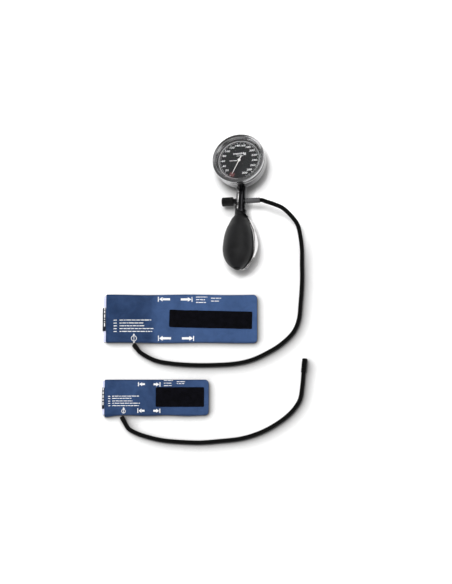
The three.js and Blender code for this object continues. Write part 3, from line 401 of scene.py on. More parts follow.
def panel_tone(tree, vector):
    """The weave, darker and mottled over the larger cuff's left part, with painted shade along the welds."""
    x, y, _ = along_axes(tree, vector)
    cloth, threads = weave(tree, vector)
    wander = times(tree, noise_node(tree, vector, 40, 3), 0.012)
    large = range_node(tree, plus(tree, x, wander), -0.040, -0.030, 0.06, 0.66)
    small = range_node(tree, x, -0.03, 0.03, 0.22, 0.42)
    on_large = range_node(tree, y, -0.115, -0.11, 0, 1)
    tones = []
    for tone, middle, half_width in ((large, -0.0556, 0.0323), (small, -0.1613, 0.0237)):
        off = math_node(tree, "ABSOLUTE", minus(tree, y, middle), 0)
        # Painted shade: a band just inside the welded edge is darker.
        weld_shade = range_node(tree, off, half_width - 0.0022, half_width - 0.0004, 0, 0.4)
        tones.append(minus(tree, tone, weld_shade))
    tone = plus(tree, tones[1], times(tree, on_large, minus(tree, *tones)))
    clouds = minus(tree, noise_node(tree, vector, 60, 4, 0.6, 1.0), 0.5)
    mottled = plus(tree, times(tree, cloth, 0.3), times(tree, clouds, 0.9))
    return range_node(tree, plus(tree, tone, mottled), 0, 1, 0, 1), threads


def hooks(tree, vector):
    cells = tree.nodes.new("ShaderNodeTexVoronoi")
    link(tree, vector, cells.inputs["Vector"])
    cells.inputs["Scale"].default_value = 1300
    matted = noise_node(tree, vector, 160, 4, 0.7)
    return range_node(tree, matted, 0.35, 0.7, 0, 1), plus(tree, cells.outputs["Distance"], matted)


for name, build in (("weave", weave), ("panel", panel_tone), ("hooks", hooks)):
    EFFECTS[name] = effect_group(name, build)
print("effects:", ", ".join(EFFECTS))

# %% [markdown]
# ## Materials
# A material here is an effect, two colours that its mask moves between, a range of roughness and a depth of
# relief. Chrome is nearly a mirror, so most of its look comes from what stands round it, with painted
# reflections and painted shade added on the handle and the bezel; rubber is dark with a broad dull highlight;
# coated cloth is darker where it has been rubbed, and has painted shade along the cuffs' welds.

# %% Material helper
def rgba(colour):
    """A colour of three numbers, or a grey of one, as four."""
    return (*colour, 1) if isinstance(colour, tuple) else (colour, colour, colour, 1)


def finish(name, effect, dark, pale, rough, relief, **values):
    """A Principled material whose colour and roughness follow an effect's mask."""
    material = bpy.data.materials.new(name)
    material.use_nodes = True
    tree = material.node_tree
    surface = tree.nodes["Principled BSDF"]
    for socket, value in values.items():
        surface.inputs[socket.replace("_", " ")].default_value = value
    node = tree.nodes.new("ShaderNodeGroup")
    node.node_tree = EFFECTS[effect]
    ramp = tree.nodes.new("ShaderNodeValToRGB")
    for stop, colour in zip(ramp.color_ramp.elements, (dark, pale)):
        stop.color = rgba(colour)
    link(tree, node.outputs["Mask"], ramp.inputs["Fac"])
    link(tree, ramp.outputs["Color"], surface.inputs["Base Color"])
    link(tree, range_node(tree, node.outputs["Mask"], 0, 1, *rough), surface.inputs["Roughness"])
    bump = tree.nodes.new("ShaderNodeBump")
    bump.inputs["Strength"].default_value = 1
    bump.inputs["Distance"].default_value = relief * MM
    link(tree, node.outputs["Height"], bump.inputs["Height"])
    link(tree, bump.outputs["Normal"], surface.inputs["Normal"])
    return material

# %% [markdown]
# ### The finishes
# One row of the table is one finish. Metals are fully metallic, the dull rubbers have a low specular level,
# and the glass lets light through. The darkest blacks stay a little above zero, as real ones do.

# %% Table of finishes
def dull(level):
    return {"Specular_IOR_Level": level}


METAL = {"Metallic": 1.0}
CLEAR = {"Transmission_Weight": 1.0, "IOR": 1.45}
PRINT = (0.5, 0.6), 0.002
FINISHES = {
    # name: effect, dark colour, pale colour, roughness, relief in millimetres, other values
    # The handle's dark colour is a painted dark reflection, and its mask adds a painted highlight and painted
    # shade.
    "handle_chrome": ("handle", (0.045, 0.045, 0.048), (0.74, 0.73, 0.73), (0.05, 0.07), 0.002, METAL),
    # The bezel's mask adds painted shade to its skirt at the right.
    "bezel_metal": ("bezel", (0.07, 0.068, 0.066), (0.62, 0.62, 0.63), (0.02, 0.2), 0.004, METAL),
    "spacer_metal": ("spun", 0.05, 0.08, (0.3, 0.4), 0.004, METAL),
    "steel": ("smears", (0.5, 0.5, 0.51), (0.6, 0.6, 0.61), (0.22, 0.36), 0.004, METAL),
    "brass": ("smears", (0.55, 0.4, 0.17), (0.68, 0.52, 0.25), (0.22, 0.4), 0.004, METAL),
    "bulb_rubber": ("moulding", (0.009, 0.009, 0.0095), (0.014, 0.014, 0.015), (0.42, 0.5), 0.006, dull(0.3)),
    "hose_rubber": ("moulding", 0.001, 0.002, (0.5, 0.6), 0.01, dull(0.15)),
    "seal_rubber": ("moulding", 0.002, 0.004, (0.5, 0.6), 0.01, dull(0.2)),
    "bladder_rubber": ("moulding", (0.02, 0.02, 0.022), (0.032, 0.032, 0.034), (0.55, 0.7), 0.01),
    "knob_plastic": ("moulding", 0.003, 0.005, (0.28, 0.4), 0.006),
    "sleeve_plastic": ("moulding", (0.07, 0.07, 0.073), (0.1, 0.1, 0.104), (0.4, 0.52), 0.008),
    "dial_black": ("moulding", (0.006, 0.006, 0.007), (0.010, 0.010, 0.011), (0.6, 0.7), 0.003, dull(0.1)),
    # The next grey is a painted highlight on the spacer's inner edge.
    "painted_highlight_grey": ("moulding", (0.24, 0.24, 0.25), (0.3, 0.3, 0.31), *PRINT),
    "print_white": ("moulding", (0.78, 0.79, 0.8), 0.86, *PRINT),
    "dial_print": ("moulding", 0.5, 0.58, *PRINT),
    "print_red": ("moulding", (0.045, 0.004, 0.006), (0.06, 0.006, 0.008), *PRINT),
    "needle_white": ("moulding", (0.5, 0.5, 0.49), (0.58, 0.58, 0.56), (0.35, 0.45), 0.002),
    # The cloth's mask adds painted shade along the cuffs' welds.
    "cuff_cloth": ("panel", (0.008, 0.028, 0.085), (0.046, 0.094, 0.225), (0.55, 0.75), 0.1),
    "hook_cloth": ("hooks", (0.0012, 0.0012, 0.002), (0.0045, 0.0045, 0.007), (0.75, 0.95), 0.25, dull(0.1)),
    "tab_cloth": ("weave", (0.012, 0.015, 0.025), (0.022, 0.027, 0.04), (0.7, 0.85), 0.08),
    "edge_cloth": ("weave", (0.6, 0.62, 0.82), (0.72, 0.74, 0.9), (0.65, 0.8), 0.06),
    "window_glass": ("smears", (0.96, 0.97, 0.97), (1, 1, 1), (0.0, 0.02), 0.0005, CLEAR),
    "floor_paint": ("moulding", 0.89, 0.9, (0.8, 0.9), 0.0),
}
MATERIALS = {}
for name, (effect, dark, pale, rough, relief, *others) in FINISHES.items():
    MATERIALS[name] = finish(name, effect, dark, pale, rough, relief, **(others[0] if others else {}))
print(len(MATERIALS), "materials")

# %% [markdown]
# ### Dressing a piece
# Each piece that is seen stands for some CAD nodes, which it hides, rides on one of their bodies and gets one
# of the materials above, so that a simulation can move it and a new finish can find it. Printed marks stand
# for no CAD node.

# %% Helpers that dress and add a piece
def dress(piece, material, body="set_frame", nodes=()):
    """Gives a piece its material and its body, and hides the CAD nodes that it stands for."""
    piece.data.materials.append(MATERIALS[material])
    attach(piece, body)
    if nodes:
        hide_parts(*nodes)
    return piece


def add_piece(name, shape, material, nodes=(), body="set_frame", place=PUMP, sharp=40):
    """A dressed piece from points and faces, laid down with the pump unless it has another place."""
    return dress(add_mesh(name, *shape, place=place, sharp=sharp), material, body, nodes)


# %% [markdown]
# ## Floor, sky and lamps
# The photograph has a pure white ground with soft shadows to the right. The table is a matt white that
# catches the shadows, and a little of its own light for camera and mirror rays lifts it to white. Close to
# the pieces ambient occlusion, leaning to one side, deepens the shadows. The light itself stays plain: a soft
# sun from above, and a dim sky with soft bright patches, which keeps the chrome dark between its highlights.

# %% The floor
FLOOR_HALF = 3000
FLOOR_LEVEL = -0.2
OCCLUSION_REACH = 0.018
OCCLUSION_SAMPLES = 12
OCCLUSION_POWER = 2.5
OCCLUSION_LEAN = (-0.72, 0.4, 0.56)
SHADOW_COLOUR = (0.08, 0.075, 0.075, 1)
FLOOR_GLOW = 0.13
FLOOR_CORNERS = ((-1, -1), (1, -1), (1, 1), (-1, 1))

floor_points = [(x * FLOOR_HALF, y * FLOOR_HALF, FLOOR_LEVEL) for x, y in FLOOR_CORNERS]
floor = add_mesh("floor", floor_points, [[0, 1, 2, 3]])
tree = MATERIALS["floor_paint"].node_tree
paint = tree.nodes["Principled BSDF"]
rays = tree.nodes.new("ShaderNodeLightPath")
mirror_rays = most(tree, rays.outputs["Is Glossy Ray"], rays.outputs["Is Transmission Ray"])
seen = most(tree, rays.outputs["Is Camera Ray"], mirror_rays)
near = tree.nodes.new("ShaderNodeAmbientOcclusion")
near.samples = OCCLUSION_SAMPLES
near.inputs["Distance"].default_value = OCCLUSION_REACH
lean = tree.nodes.new("ShaderNodeCombineXYZ")
for socket, value in zip(lean.inputs, OCCLUSION_LEAN):
    socket.default_value = value
link(tree, lean.outputs["Vector"], near.inputs["Normal"])
open_share = most(tree, math_node(tree, "POWER", near.outputs["AO"], OCCLUSION_POWER), mirror_rays)
shaded = tree.nodes.new("ShaderNodeMix")
shaded.data_type = "RGBA"
shaded.inputs["A"].default_value = SHADOW_COLOUR
link(tree, open_share, shaded.inputs["Factor"])
link(tree, paint.inputs["Base Color"].links[0].from_socket, shaded.inputs["B"])
link(tree, shaded.outputs["Result"], paint.inputs["Base Color"])
glow = tree.nodes.new("ShaderNodeEmission")
link(tree, times(tree, seen, open_share, FLOOR_GLOW), glow.inputs["Strength"])
both = tree.nodes.new("ShaderNodeAddShader")
link(tree, paint.outputs["BSDF"], both.inputs[0])
link(tree, glow.outputs["Emission"], both.inputs[1])
link(tree, both.outputs["Shader"], tree.nodes["Material Output"].inputs["Surface"])
floor.data.materials.append(MATERIALS["floor_paint"])
print("floor at", FLOOR_LEVEL, "mm")

# %% [markdown]
# ### The sky
# Polished metal shows its surroundings, so the sky is built like a studio: dim below and at the horizon,
# a little brighter above, with soft round patches where the photograph's chrome has its highlights.

# %% The sky
SKY_LEVELS = [(0.0, 0.04), (0.25, 0.06), (0.5, 0.13), (0.75, 0.18), (1.0, 0.18)]
PATCHES = [
    # towards x, y, z; half angle; level
    (-0.83, 0.47, 0.29, 5, 2.6), (-0.67, 0.61, 0.43, 11, 0.45), (-0.1, 0.8, 0.59, 12, 1.3),
    (0.36, 0.48, 0.8, 17, 1.1), (0.27, 0.82, 0.5, 14, 1.1), (0.27, 0.1, 0.96, 15, 1.0),
    (0.0, -0.2, 0.98, 17, 1.3), (0.81, -0.15, 0.57, 22, 0.65), (-0.2, -0.9, 0.38, 40, 0.25),
]

world = bpy.data.worlds.new("studio")
scene.world = world
world.use_nodes = True
tree = world.node_tree
direction = tree.nodes.new("ShaderNodeTexCoord").outputs["Generated"]
sky = tree.nodes.new("ShaderNodeValToRGB")
stops = sky.color_ramp.elements
stops[0].color, stops[1].color = rgba(SKY_LEVELS[0][1]), rgba(SKY_LEVELS[-1][1])
for height, level in SKY_LEVELS[1:-1]:
    stops.new(height).color = rgba(level)
link(tree, along_axes(tree, direction)[2], sky.inputs["Fac"])
light = sky.outputs["Color"]
for x, y, z, half_angle, level in PATCHES:
    towards = tree.nodes.new("ShaderNodeVectorMath")
    towards.operation = "DOT_PRODUCT"
    link(tree, direction, towards.inputs[0])
    towards.inputs[1].default_value = Vector((x, y, z)).normalized()
    inner, outer = math.cos(math.radians(half_angle * 0.6)), math.cos(math.radians(half_angle))
    light = plus(tree, light, range_node(tree, towards.outputs["Value"], outer, inner, 0, level))
link(tree, light, tree.nodes["Background"].inputs["Strength"])
tree.nodes["Background"].inputs["Color"].default_value = (1, 1, 1, 1)
print(len(PATCHES), "patches in the sky")

# %% [markdown]
# ### The sun
# One wide sun gives the soft shadows. It isn't seen in mirrors, because a disc in the chrome would look like
# a lamp.

# %% The sun
TOWARDS_SUN = Vector((-0.23, 0.11, 0.967))
SUN_STRENGTH = 2.8
SUN_WIDTH = 24

sun = bpy.data.lights.new("key", "SUN")
sun.energy = SUN_STRENGTH
sun.angle = math.radians(SUN_WIDTH)
key = bpy.data.objects.new("key", sun)
key.location = TOWARDS_SUN
key.rotation_euler = (-TOWARDS_SUN).to_track_quat("-Z", "Y").to_euler()
key.visible_glossy = False
scene.collection.objects.link(key)
print("stage set")

# %% [markdown]
# ## Hoses
# A rubber hose on a table follows long easy bends. Its centreline is a smooth curve through a few points,
# the same that the CAD tube follows, drawn here as a curve with a round section. The larger cuff's hose runs
# from the connector on the handle round the right side and under the cuff to its port.

# %% The hoses' routes
HOSE_RADIUS = 2.8
CUFF_HOSE = [
    tuple(in_frame(26.4, -PORT_LEVEL, 0) / MM), tuple(in_frame(28.9, -PORT_LEVEL - 0.2, 0) / MM),
    (106.8, 97.9, 25.9), (117, 94, 27.2), (128, 89.3, 26), (138, 81, 23), (148, 69, 17.5), (152, 54, 12),
    (154, 37, 7.5), (154, 18, 4.3), (154, -3, 3.2), (152, -33, 3), (149, -58, 3), (142, -74, 3),
    (126, -90, 3), (109, -101, 3), (88, -111, 3), (67, -116, 3), (38, -118, 3), (9, -118, 3),
    (-17, -116, 3), (-38, -112, 3), (-54, -104, 3),
]
SPARE_HOSE = [
    (-72, -203, 3), (-61, -209, 3), (-46, -214, 3), (-28, -218, 3), (-7, -220, 3), (20, -221, 3),
    (46, -219, 3), (72, -216, 3), (93, -210, 3), (112, -201, 3), (131, -188, 3), (142, -177, 3),
    (150, -164, 3), (153, -148, 3), (155, -128, 3),
]


def way_at(degrees):
    return Vector((math.cos(math.radians(degrees)), math.sin(math.radians(degrees)), 0))


CUFF_PORT, CUFF_PORT_WAY = Vector((-61.174, -97.745, 3.7)), way_at(-52)
SPARE_PORT, SPARE_PORT_WAY = Vector((-77.134, -195.202, 3.7)), way_at(-62)
print("route points:", len(CUFF_HOSE), "and", len(SPARE_HOSE))

# %% [markdown]
# ### A smooth line and the hoses
# A centripetal curve goes through every point without loops, however unevenly they are spaced. The hose is
# then a curve object with a round bevel, which stays light and smooth.

# %% Both hoses
def cubic(start, end, leave, arrive, t):
    """A place on the cubic from start to end that has these slopes at its ends."""
    return (
        start * (2 * t**3 - 3 * t**2 + 1)
        + leave * (t**3 - 2 * t**2 + t)
        + end * (3 * t**2 - 2 * t**3)
        + arrive * (t**3 - t**2)
    )


def through(points, step=1.5):
    """A centripetal curve through the points, sampled about every step millimetres."""
    p = [Vector(q) for q in points]
    p = [2 * p[0] - p[1], *p, 2 * p[-1] - p[-2]]
    line = []
    for a, b, c, d in zip(p, p[1:], p[2:], p[3:]):
        ta, tb, tc = (a - b).length ** 0.5, (b - c).length ** 0.5, (c - d).length ** 0.5
        leave = ((b - a) / ta - (c - a) / (ta + tb) + (c - b) / tb) * tb
        arrive = ((c - b) / tb - (d - b) / (tb + tc) + (d - c) / tc) * tb
        count = max(2, round((c - b).length / step))
        line += [cubic(b, c, leave, arrive, i / count) for i in range(count)]
    line.append(p[-2])
    return line


def hose(name, points):
    """A round hose as a curve, and its length in metres."""
    line = through(points)
    curve = bpy.data.curves.new(name, "CURVE")
    curve.dimensions = "3D"
    curve.bevel_depth = HOSE_RADIUS * MM
    curve.bevel_resolution = 6
    curve.use_fill_caps = True
    spline = curve.splines.new("POLY")
    spline.points.add(len(line) - 1)
    for spot, place in zip(spline.points, line):
        spot.co = (*(place * MM), 1)
    spline.use_smooth = True
    made = bpy.data.objects.new(name, curve)
    scene.collection.objects.link(made)
    length = sum((b - a).length for a, b in zip(line, line[1:])) * MM
    print(name, round(length, 4), "m")
    return made, length, line


cuff_hose, cuff_hose_length, cuff_line = hose(
    "cuff_hose_soft", [*CUFF_HOSE, tuple(CUFF_PORT + 3 * CUFF_PORT_WAY), tuple(CUFF_PORT)]
)
dress(cuff_hose, "hose_rubber", nodes=["cuff_hose"])
spare_hose, spare_hose_length, spare_line = hose(
    "spare_hose_soft", [tuple(SPARE_PORT), tuple(SPARE_PORT + 3 * SPARE_PORT_WAY), *SPARE_HOSE]
)
dress(spare_hose, "hose_rubber", nodes=["spare_cuff_hose"])

# %% [markdown]
# ## Case and handle
# The case is one chromed casting: a shallow bowl with a rim for the bezel, running out at the bottom into the
# handle's neck. The neck flares where it meets the bowl and is a little flat there, which stretches what it
# reflects; the bright line on its left side is a painted highlight in the metal's colour, and the neck's
# darkness is a painted dark reflection. Two bosses carry the release valve and the hose port.

# %% The case
AT_PORT = (0, -PORT_LEVEL, 0)


def bowl(wide, deep, steps):
    """A quarter of an ellipse, from the case's back to its side."""
    turns = [math.radians(90 * i / steps) for i in range(steps + 1)]
    return [(11 + wide * math.sin(t), 7.5 - deep * math.cos(t)) for t in turns]


case_outline = [
    (0, -7), *bowl(22.5, 14.5, 30), (33.5, 14.6), (33.1, 15), (32.6, 15), (32.6, 22.3), (32.3, 22.6),
    (30.9, 22.6), (30.9, 18.2), (29.0, 18.2), *reversed(bowl(18, 11.9, 15)), (0, -4.4),
]
case_body = turned(case_outline, "z", 144)
print("case", len(case_body[1]), "faces")

# %% [markdown]
# ### Neck and bosses
# The neck is a skin over rings: wide and flat where it leaves the bowl, round where the bulb begins, stepped
# for the spoon's collar and hollow. It and the bosses join the case in one mesh, as in one casting.

# %% Neck and bosses
def neck_ring(distance, radius, flat=1.0, steps=64):
    turns = [2 * math.pi * i / steps for i in range(steps)]
    return [(radius * math.sin(t), -distance, -flat * radius * math.cos(t)) for t in turns]


def lofted(rings):
    """Points and faces of a skin over rings of as many points each, its first and last ring joined."""
    points = [p for ring in rings for p in ring]
    size = len(rings[0])
    faces = []
    for a in range(len(rings)):
        b = (a + 1) % len(rings)
        for i in range(size):
            j = (i + 1) % size
            faces.append([a * size + i, a * size + j, b * size + j, b * size + i])
    return points, faces


neck_rings = []
for i in range(33):
    distance = 25.5 + 13 * i / 32
    share = min(1, max(0, (distance - 23.5) / 15))
    neck_rings.append(neck_ring(distance, 6.5 + 2.9 * (1 - share) ** 2, 0.76 + 0.24 * share))
collar_seat = [(38.5, 6.5), (59.1, 6.5), (59.1, 5.6), (64.7, 5.6), (64.7, 3.7), (54.5, 3.7)]
neck_rings += [neck_ring(d, radius) for d, radius in eased(collar_seat, 0.35) if d > 38.6]
neck_rings += [neck_ring(54.5, 1.8), neck_ring(25.5, 1.8)]
neck_body = lofted(neck_rings)

boss_bodies = []
for side in (-1, 1):
    outline = [(3.0, 3.0), (6.0, 3.4), (5.3, 4.6), (4.5, 5.5), (4.2, 6.1), (4.2, 6.4), (4.0, 6.6), (3.0, 6.6)]
    boss_bodies.append(turned([(r, side * h) for r, h in outline], "x", 64, offset=AT_PORT))
housing = add_piece(
    "gauge_housing_fine", merged(case_body, neck_body, *boss_bodies), "handle_chrome",
    ["gauge_housing"],
)
print("housing", len(housing.data.polygons), "faces")

# %% [markdown]
# ## Bezel
# The bezel is spun from brass and chromed: a straight skirt, a groove, a full round front edge and a cone
# down to the glass. It is one outline turned round the dial's axis, in many steps because a mirror shows
# facets.

# %% The bezel
bezel_outline = [
    (32.9, 15.3), (34.1, 15.3), (34.5, 15.7), (34.5, 20.2), (34.2, 20.5), (33.4, 20.7), (33.4, 21.3),
    (34.6, 21.6), *eased([(35.0, 22.1), (35.0, 26.1), (31.2, 27.1), (28.9, 24.0), (28.9, 23.3)], 0.55, 5),
    (31.0, 23.0), (31.0, 22.9), (32.9, 22.9),
]
bezel_shape = turned(bezel_outline, "z", 192)
bezel = add_piece("bezel_ring_fine", bezel_shape, "bezel_metal", ["bezel_ring"], sharp=50)
print("bezel", len(bezel.data.polygons), "faces")

# %% [markdown]
# ## Window and spacer ring
# The glass is a low dome. Under it a dark ring holds the dial down, with a painted highlight, a thin pale
# grey line, on its inner edge.
# The glass casts no shadow, because a path tracer would darken the dial under it.

# %% The window and what lies under it
dome = [(30.6 * s / 24, 1.4 * (1 - (s / 24) ** 2)) for s in range(25)]
window_outline = [(r, 21.9 + h) for r, h in dome] + [(r, 22.9 + h) for r, h in reversed(dome)]
window_shape = turned(window_outline, "z", 128, closed=False)
window = add_piece("gauge_window_fine", window_shape, "window_glass", ["gauge_window"])
window.visible_shadow = False

spacer_outline = [(30.6, 19.4), (30.6, 21.8), (28.4, 21.8), (27.9, 20.4), (26.9, 20.1), (26.9, 19.4)]
spacer_shape = turned(eased(spacer_outline, 0.2), "z", 144)
add_piece("dial_spacer_fine", spacer_shape, "spacer_metal", ["dial_spacer_ring"])
# A painted highlight: a pale grey ring along the spacer's inner edge.
highlight_outline = eased([(27.0, 20.0), (27.6, 20.2), (27.7, 20.5), (27.0, 20.3)], 0.08)
add_piece("spacer_painted_highlight", turned(highlight_outline, "z", 144), "painted_highlight_grey")
print("window apex", round(in_frame(0, 0, 26.6).z, 4))

# %% [markdown]
# ## Dial and needle
# The dial is a painted disc with a scale of millimetres of mercury from 0 to 300. The numbers stand upright
# and are set in a heavy face; each is a text object turned to a mesh and laid on the disc. The needle points
# at zero.

# %% Helpers for the dial's print
DIAL_TOP = 19.3
PRINT_LEVEL = DIAL_TOP + 0.02
NEEDLE_AT = 203.2
ZERO_AT = 206.6
DEGREES_PER_MARK = 1.031


def on_dial(radius, degrees):
    return radius * math.sin(math.radians(degrees)), radius * math.cos(math.radians(degrees))


def slab(corners, low, high):
    """A flat body with four corners between two heights."""
    points = [(x, y, z) for z in (low, high) for x, y in corners]
    return points, [[3, 2, 1, 0], [4, 5, 6, 7], [0, 1, 5, 4], [1, 2, 6, 5], [2, 3, 7, 6], [3, 0, 4, 7]]


def bar(radius_from, radius_to, degrees, width, height):
    """A short radial bar lying on the dial."""
    dx, dy = on_dial(width / 2, degrees + 90)
    corners = []
    for radius, side in ((radius_from, -1), (radius_from, 1), (radius_to, 1), (radius_to, -1)):
        x, y = on_dial(radius, degrees)
        corners.append((x + side * dx, y + side * dy))
    return slab(corners, height - 0.01, height + 0.03)


def lettering(text, size, x, y, heavy, slant, wide):
    """Points and faces of a line of text centred at (x, y)."""
    data = bpy.data.curves.new("lettering", "FONT")
    data.body = text
    data.size = size
    data.align_x, data.align_y = "CENTER", "CENTER"
    data.offset = heavy
    data.shear = slant
    data.resolution_u = 3
    data.extrude = 0.015
    holder = bpy.data.objects.new("lettering", data)
    scene.collection.objects.link(holder)
    bpy.context.view_layer.update()
    mesh = bpy.data.meshes.new_from_object(holder.evaluated_get(bpy.context.evaluated_depsgraph_get()))
    points = [(v.co.x * wide + x, v.co.y + y, v.co.z + PRINT_LEVEL + 0.02) for v in mesh.vertices]
    faces = [list(f.vertices) for f in mesh.polygons]
    bpy.data.objects.remove(holder)
    bpy.data.meshes.remove(mesh)
    return points, faces


print("300 is", round(300 * DEGREES_PER_MARK, 1), "degrees from 0")

# %% [markdown]
# ### Dial face
# Every mark of 2 mmHg is a short bar, longer at 10 and 20. Small print is drawn as plain dashes, and a dark
# red patch lies where the needle rests.

# %% The dial and its print
dial_outline = [(1.5, 18.5), (30.6, 18.5), (30.6, DIAL_TOP), (1.5, DIAL_TOP)]
add_piece("dial_plate_fine", turned(dial_outline, "z", 128), "dial_black", ["dial_plate"])

print_bodies = []
for value in range(0, 301, 2):
    long, width = (2.0, 0.24) if value % 20 == 0 else (1.6, 0.17) if value % 10 == 0 else (1.0, 0.1)
    print_bodies.append(bar(26.2 - long, 26.2, ZERO_AT + DEGREES_PER_MARK * value, width, PRINT_LEVEL))
for value in range(20, 301, 20):
    x, y = on_dial(21.2, ZERO_AT + DEGREES_PER_MARK * value)
    print_bodies.append(lettering(str(value), 3.7, x - 0.6, y + 0.4, heavy=0.03, slant=0.1, wide=1.3))
print_bodies.append(lettering("mmHg", 4.6, 0.0, 9.8, heavy=0.06, slant=0.0, wide=1.4))
for x0, x1, y, tall in ((-4.0, 5.4, 6.4, 0.45), (-13.2, -8.9, -0.3, 0.8), (-8.3, -3.3, -0.3, 0.8)):
    low, high = y - tall / 2, y + tall / 2
    dash = [(x0, low), (x1, low), (x1, high), (x0, high)]
    print_bodies.append(slab(dash, DIAL_TOP + 0.01, DIAL_TOP + 0.05))
dial_print = add_piece("dial_print", merged(*print_bodies), "dial_print", sharp=30)
add_piece("dial_zero_patch", bar(19.6, 24.6, NEEDLE_AT, 6.6, DIAL_TOP + 0.01), "print_red")
print("dial print", len(dial_print.data.polygons), "faces")

# %% [markdown]
# ### Needle
# The needle is a thin blade with a low ridge, which catches light along one half, and a short tail that
# balances it.

# %% The needle
NEEDLE_STATIONS = [
    # distance from the hub, half width
    (-7.0, 0.5), (-6.6, 0.62), (-2.0, 0.5), (0, 0.5), (8, 0.44), (18, 0.34), (21.6, 0.18), (22.0, 0.04),
]
NEEDLE_LEVEL = 20.25
along = Vector((*on_dial(1, NEEDLE_AT), 0))
sideways = Vector((*on_dial(1, NEEDLE_AT + 90), 0))


def needle_point(row, column, far):
    distance, half = NEEDLE_STATIONS[row]
    share = column - 1
    place = along * distance + sideways * (share * half)
    return (place.x, place.y, NEEDLE_LEVEL + (0.3 + 0.22 * (1 - abs(share)) if far else 0))


blade = gridded(len(NEEDLE_STATIONS) - 1, 2, needle_point)
hub = turned(eased([(0, 19.8), (1.9, 19.8), (1.9, 21.2), (0, 21.5)], 0.35), "z", 48)
add_piece(
    "needle_fine", merged(blade, hub), "needle_white", ["needle"], body="needle", sharp=25
)
print("needle tip", [round(c, 4) for c in in_frame(along.x * 22, along.y * 22, 20)])

# %% [markdown]
# ## Release valve and hose connector
# The release knob is black plastic with fine flutes for the fingers, on a chromed gland nut. On the other
# side a grey ribbed sleeve grips the hose on its nipple. Both are turned parts, so outlines do most of it.

# %% The valve's knob and gland
FLUTES = 24
FLUTE_DEPTH = 0.55


def fluted(outline, steps=240):
    """A body turned round x whose radius dips between its flutes, by a share of their depth."""
    rings = []
    for radius, x, share in outline:
        ring = []
        for i in range(steps):
            a = 2 * math.pi * i / steps
            r = radius - FLUTE_DEPTH * share * (0.5 + 0.5 * math.cos(FLUTES * a)) ** 1.5
            ring.append((x, r * math.cos(a) - PORT_LEVEL, r * math.sin(a)))
        rings.append(ring)
    return lofted(rings)


knob_outline = [
    # radius, x, share of the flutes' depth
    (1.8, -10.0, 0), (4.9, -10.0, 0), (5.2, -10.1, 0.1), (5.6, -10.4, 0.5), (5.85, -10.8, 0.9),
    (5.95, -11.2, 1), (5.95, -24.2, 1), (5.85, -24.5, 0.9), (5.5, -24.85, 0.4), (5.1, -25.05, 0.1),
    (4.7, -25.1, 0), (0.05, -25.1, 0), (0.05, -22.1, 0), (1.8, -22.1, 0),
]
add_piece(
    "valve_knob_fine", fluted(knob_outline), "knob_plastic", ["valve_knob"],
    body="valve_screw", sharp=50,
)

gland_outline = eased([(2.3, -6.9), (3.6, -6.9), (3.6, -9.7), (2.3, -9.7)], 0.3)
gland_shape = turned(gland_outline, "x", 64, offset=AT_PORT)
add_piece("valve_gland_fine", gland_shape, "handle_chrome", ["valve_gland"])
print("knob with", FLUTES, "flutes")

# %% [markdown]
# ### Hose connectors
# A sleeve with five soft ribs holds each hose's end. The spare cuff's sleeve lies on the table at the end of
# its hose.

# %% The two sleeves
def sleeve(start, end, offset=(0, 0, 0)):
    """A ribbed sleeve that starts and ends at these places along its axis."""
    outline = [(2.85, start), (3.6, start)]
    ridge_run = (end - start - 2) / 5
    for i in range(5):
        for share, drop in ((0, 0), (0.3, 0.05), (0.5, 0.35), (0.7, 0.05)):
            outline.append((3.6 - drop, start + 1 + (i + share) * ridge_run))
    outline += [(3.6, end - 1), (3.2, end), (2.85, end)]
    return turned(eased(outline, 0.2, 2), "x", 64, offset=offset)


def laid(place, way):
    """The matrix that puts a body turned round x at a place, along a way."""
    return Matrix.Translation(place * MM) @ way.to_track_quat("X", "Z").to_matrix().to_4x4()


connector = add_piece(
    "hose_connector_fine", sleeve(8.1, 26.1, AT_PORT), "sleeve_plastic",
    ["hose_connector"],
)
spare_place = laid(Vector((*SPARE_HOSE[-1][:2], 3.6)), Vector((0.0995, 0.995, 0)))
spare_connector = add_piece(
    "spare_connector_fine", sleeve(0.3, 18.3), "hose_rubber", ["spare_hose_connector"],
    place=spare_place,
)
print("sleeves", connector.name, spare_connector.name)

# %% [markdown]
# ## Squeeze bulb
# The bulb is dipped or moulded rubber, pear shaped, with a short neck. A dull skin gives it one broad soft
# highlight.

# %% The bulb's profile
MOUTH = 65.0
BULB_PROFILE = [
    # distance from the mouth, radius
    (0, 7.2), (5, 7.1), (7.5, 7.4), (9.5, 8.6), (11.5, 10.1), (14.5, 11.7), (20, 13.9), (27, 16.8),
    (34.5, 18.7), (42, 19.8), (50, 20.4), (57, 20.4), (64, 19.2), (70.5, 16.7), (76, 12.9), (80, 8.6),
    (82.3, 5.2),
]
BULB_LENGTH = BULB_PROFILE[-1][0]


def bulb_radius(distance):
    """Radius of the bulb at a distance from the dial's axis, smooth between the measured places."""
    d = min(BULB_LENGTH, max(0, distance - MOUTH))
    i = max(1, next(k for k, (place, _) in enumerate(BULB_PROFILE) if d <= place))
    (d0, r0), (d1, r1) = BULB_PROFILE[i - 1], BULB_PROFILE[i]

    def slope(k):
        low, high = BULB_PROFILE[max(0, k - 1)], BULB_PROFILE[min(len(BULB_PROFILE) - 1, k + 1)]
        return (high[1] - low[1]) / (high[0] - low[0]) * (d1 - d0)

    return cubic(r0, r1, slope(i - 1), slope(i), (d - d0) / (d1 - d0))


print("widest", round(2 * max(bulb_radius(MOUTH + d) for d in range(int(BULB_LENGTH))), 1), "mm")

